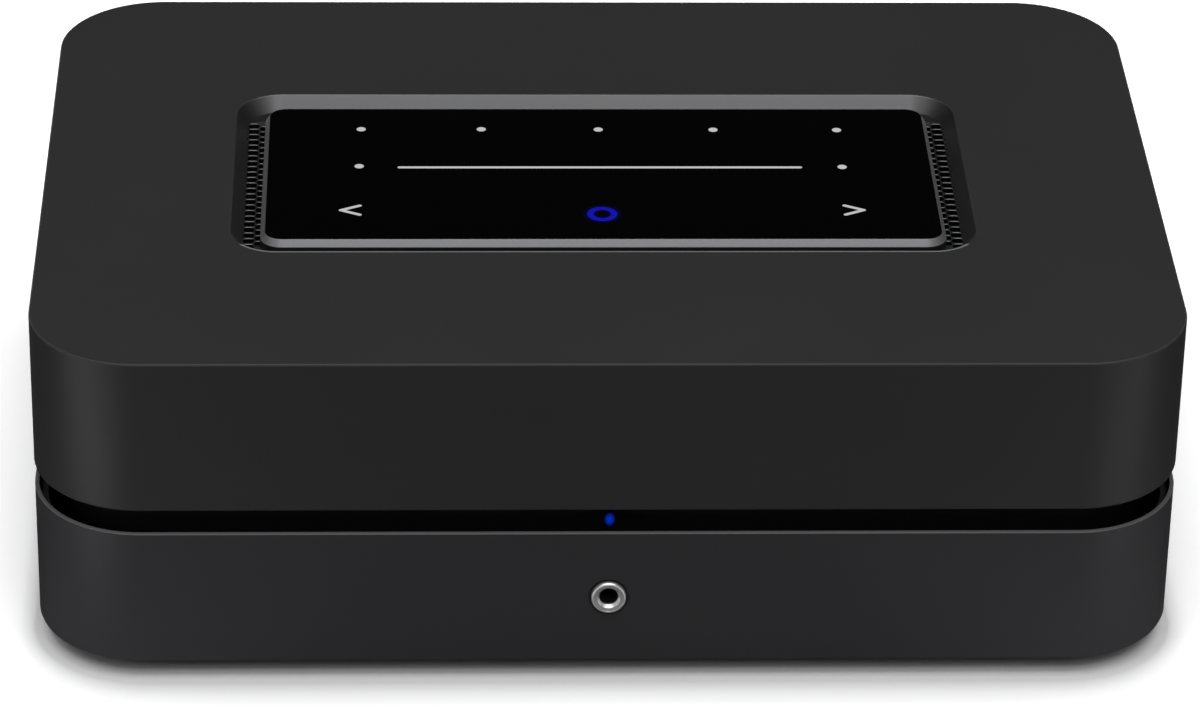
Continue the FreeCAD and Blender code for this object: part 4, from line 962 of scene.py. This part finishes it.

# %% [markdown]
# ## The studio paper
# The camera sees the floor as white paper. A short table gives the paper's level by the
# distance from the amplifier's outline, and so paints a contact shadow round the base on top of
# the lamps' own shadow; beside the two ends that distance counts more than double, because the
# shadow is narrower there. The paper's bounce is dim, but for a brighter band beside the base.
# In reflections it is dim close round the amplifier and behind it, and two pale cards beside
# the front corners draw the soft light band down each corner.

# %% Paper that is seen, that bounces and that is reflected
# Paper level by distance from the outline in millimetres: a painted contact shadow.
SHADE = ((-6.9, 0.5), (-6.0, 0.8), (-5.0, 0.82), (-4.2, 0.94), (-3.4, 1.3), (-2.6, 1.48),
         (-1.8, 1.36), (-1.2, 1.13), (-0.6, 0.97), (0.0, 0.87), (0.6, 0.82), (1.2, 0.85),
         (2.0, 0.94), (3.0, 1.0), (4.0, 1.07), (5.0, 1.15), (6.5, 1.2), (8.0, 1.23),
         (10.0, 1.34), (12.0, 1.4), (18.0, 1.45))
END_NARROWING = 2.3
CARD_START, CARD_END, CARD_EDGE = (-0.2, -0.15), (-0.13, -0.085), (0.0, 0.04)
FAR, BEHIND, BESIDE, CORNERS = (0.3, 0.6), (-0.1, -0.04), (0.02, 0.08), (0.05, 0.12)
BOUNCE, BOUNCE_BESIDE, BOUNCE_CORNERS = grey(0.42), grey(0.8), grey(2.1)
DIM, DIM_BEHIND, BRIGHT = grey(0.3), grey(0.04), grey(1.5)
CARD_LEFT, CARD_RIGHT = grey(3.9), grey(2.2)
paper = Finish("studio_paper", grey(0.8), 0.9)
seen = paper.node("ShaderNodeLightPath", output="Is Camera Ray")
seen = seen.larger(paper.node("ShaderNodeLightPath", output="Is Transmission Ray"))
mirrored = paper.node("ShaderNodeLightPath", output="Is Glossy Ray")
x, y, _ = paper.axes()
past_x, past_y = abs(x) - HALF_X * MM, abs(y) - HALF_Y * MM
far = paper.spread((x * x + y * y).root(), *FAR, 0.0, 1.0)
cards = paper.spread(past_x, *CARD_EDGE, 0.0, 1.0) * paper.spread(y, *CARD_START, 0.0, 1.0)
cards = cards * paper.spread(y, *CARD_END, 1.0, 0.0)
behind = paper.spread(y, *BEHIND, 0.0, 1.0)
level = far * (1 - 0.85 * behind)
beside = paper.spread(past_x.larger(past_y), *BESIDE, 1.0, 0.0)
corners = paper.spread(abs(x), *CORNERS, 0.0, 1.0) * (y < 0.0)
# Distance from the rounded outline, scaled beside the two ends.
round_x = (abs(x) - (HALF_X - CORNER) * MM).larger(0.0)
round_y = (abs(y) - (HALF_Y - CORNER) * MM).larger(0.0)
out = (round_x * round_x + round_y * round_y).root()
away = out - CORNER * MM
sideways = (round_x / out.larger(MM)) ** 4
away = away + END_NARROWING * (away - MM).larger(0.0) * sideways
# The painted shadow: the paper's level summed along the table.
shade = SHADE[0][1]
for (start, before), (end, after) in zip(SHADE, SHADE[1:]):
    shade = paper.spread(away, start * MM, end * MM, 0.0, after - before) + shade


def sheet_of(value):
    """A matt sheet of one colour or level."""
    return paper.node("ShaderNodeBsdfDiffuse", None, {"Color": value})


near = paper.blend(corners, BOUNCE_BESIDE, BOUNCE_CORNERS)
bounce = sheet_of(paper.blend(beside, BOUNCE, near))
page = sheet_of(shade)
dim = paper.blend(behind, DIM, DIM_BEHIND)
card = paper.blend(x > 0.0, CARD_LEFT, CARD_RIGHT)
reflected = sheet_of(paper.blend(cards, paper.blend(level, dim, BRIGHT), card))
surface = paper.node("ShaderNodeMixShader", None, {0: mirrored, 1: bounce, 2: reflected})
surface = paper.node("ShaderNodeMixShader", None, {0: seen, 1: surface, 2: page})
paper.tree.links.new(surface.socket, paper.out.inputs["Surface"])
paper.tree.nodes.remove(paper.shader)
floor.data.materials.append(paper.material)
print("paper", len(paper.tree.nodes), "nodes")

# %% [markdown]
# ## Light
# A broad lamp overhead lights the top at the level at which a colour renders as written. One
# lamp above the camera draws the bright back wall of the well and the polished ring, and two at
# the sides wrap light round the front corners. A low strip lamp behind lights the rear panel,
# and stands below the top's level so that it leaves the top and the well alone. The room itself
# is a dim grey, so the glass stays black.

# %% Lamps and room
TARGET = Vector((0, 0, 0.05))
ROOM_LEVEL = 0.08
LAMPS = (("overhead", (0.0, -0.12, 1.3), 18.6, 1.4, 1.2),
         ("above_camera", (0.1, -1.3, 1.25), 4.0, 0.9, 0.5),
         ("side_left", (-1.3, -0.9, 0.55), 2.2, 0.5, 0.9),
         ("side_right", (1.3, -0.9, 0.55), 0.9, 0.5, 0.9),
         ("back", (0.0, 1.5, 0.035), 10.0, 1.8, 0.06))


def lamp(name, place, watts, width, height):
    """A soft rectangular lamp that faces the amplifier."""
    data = bpy.data.lights.new(name, "AREA")
    data.shape = "RECTANGLE"
    data.energy = watts
    data.size, data.size_y = width, height
    made = bpy.data.objects.new(name, data)
    bpy.context.scene.collection.objects.link(made)
    made.location = place
    made.rotation_mode = "QUATERNION"
    made.rotation_quaternion = (TARGET - Vector(place)).to_track_quat("-Z", "Y")


for row in LAMPS:
    lamp(*row)

world = bpy.data.worlds.new("room")
bpy.context.scene.world = world
world.use_nodes = True
room = world.node_tree.nodes["Background"]
room.inputs["Color"].default_value = (1.0, 1.0, 1.0, 1)
room.inputs["Strength"].default_value = ROOM_LEVEL
print("lamps", len(LAMPS))

# %% [markdown]
# ## The camera
# The camera's place was worked out from the photograph: the outline and the edges between the
# tiers give where it stands, how far it turns and its long lens. It needs no shift.

# %% Camera
EYE = Vector((-0.03905, -0.94538, 0.56828))
AHEAD = Vector((0.036456, 0.867227, -0.496576))
UP = Vector((0.001287, 0.496865, 0.867827))
data = bpy.data.cameras.new("camera")
data.lens = 161.24
data.sensor_width = 36
data.clip_start, data.clip_end = 0.05, 50
camera = bpy.data.objects.new("camera", data)
bpy.context.scene.collection.objects.link(camera)
side = AHEAD.cross(UP).normalized()
turn = Matrix((side, UP, -AHEAD)).transposed().to_4x4()
camera.matrix_world = Matrix.Translation(EYE) @ turn
bpy.context.scene.camera = camera
bpy.context.scene.view_settings.view_transform = "Standard"
print("camera at", [round(v, 3) for v in camera.matrix_world.translation])

# %% [markdown]
# ## The last update
# The view layer is brought up to date.

# %% Update the view layer
bpy.context.view_layer.update()
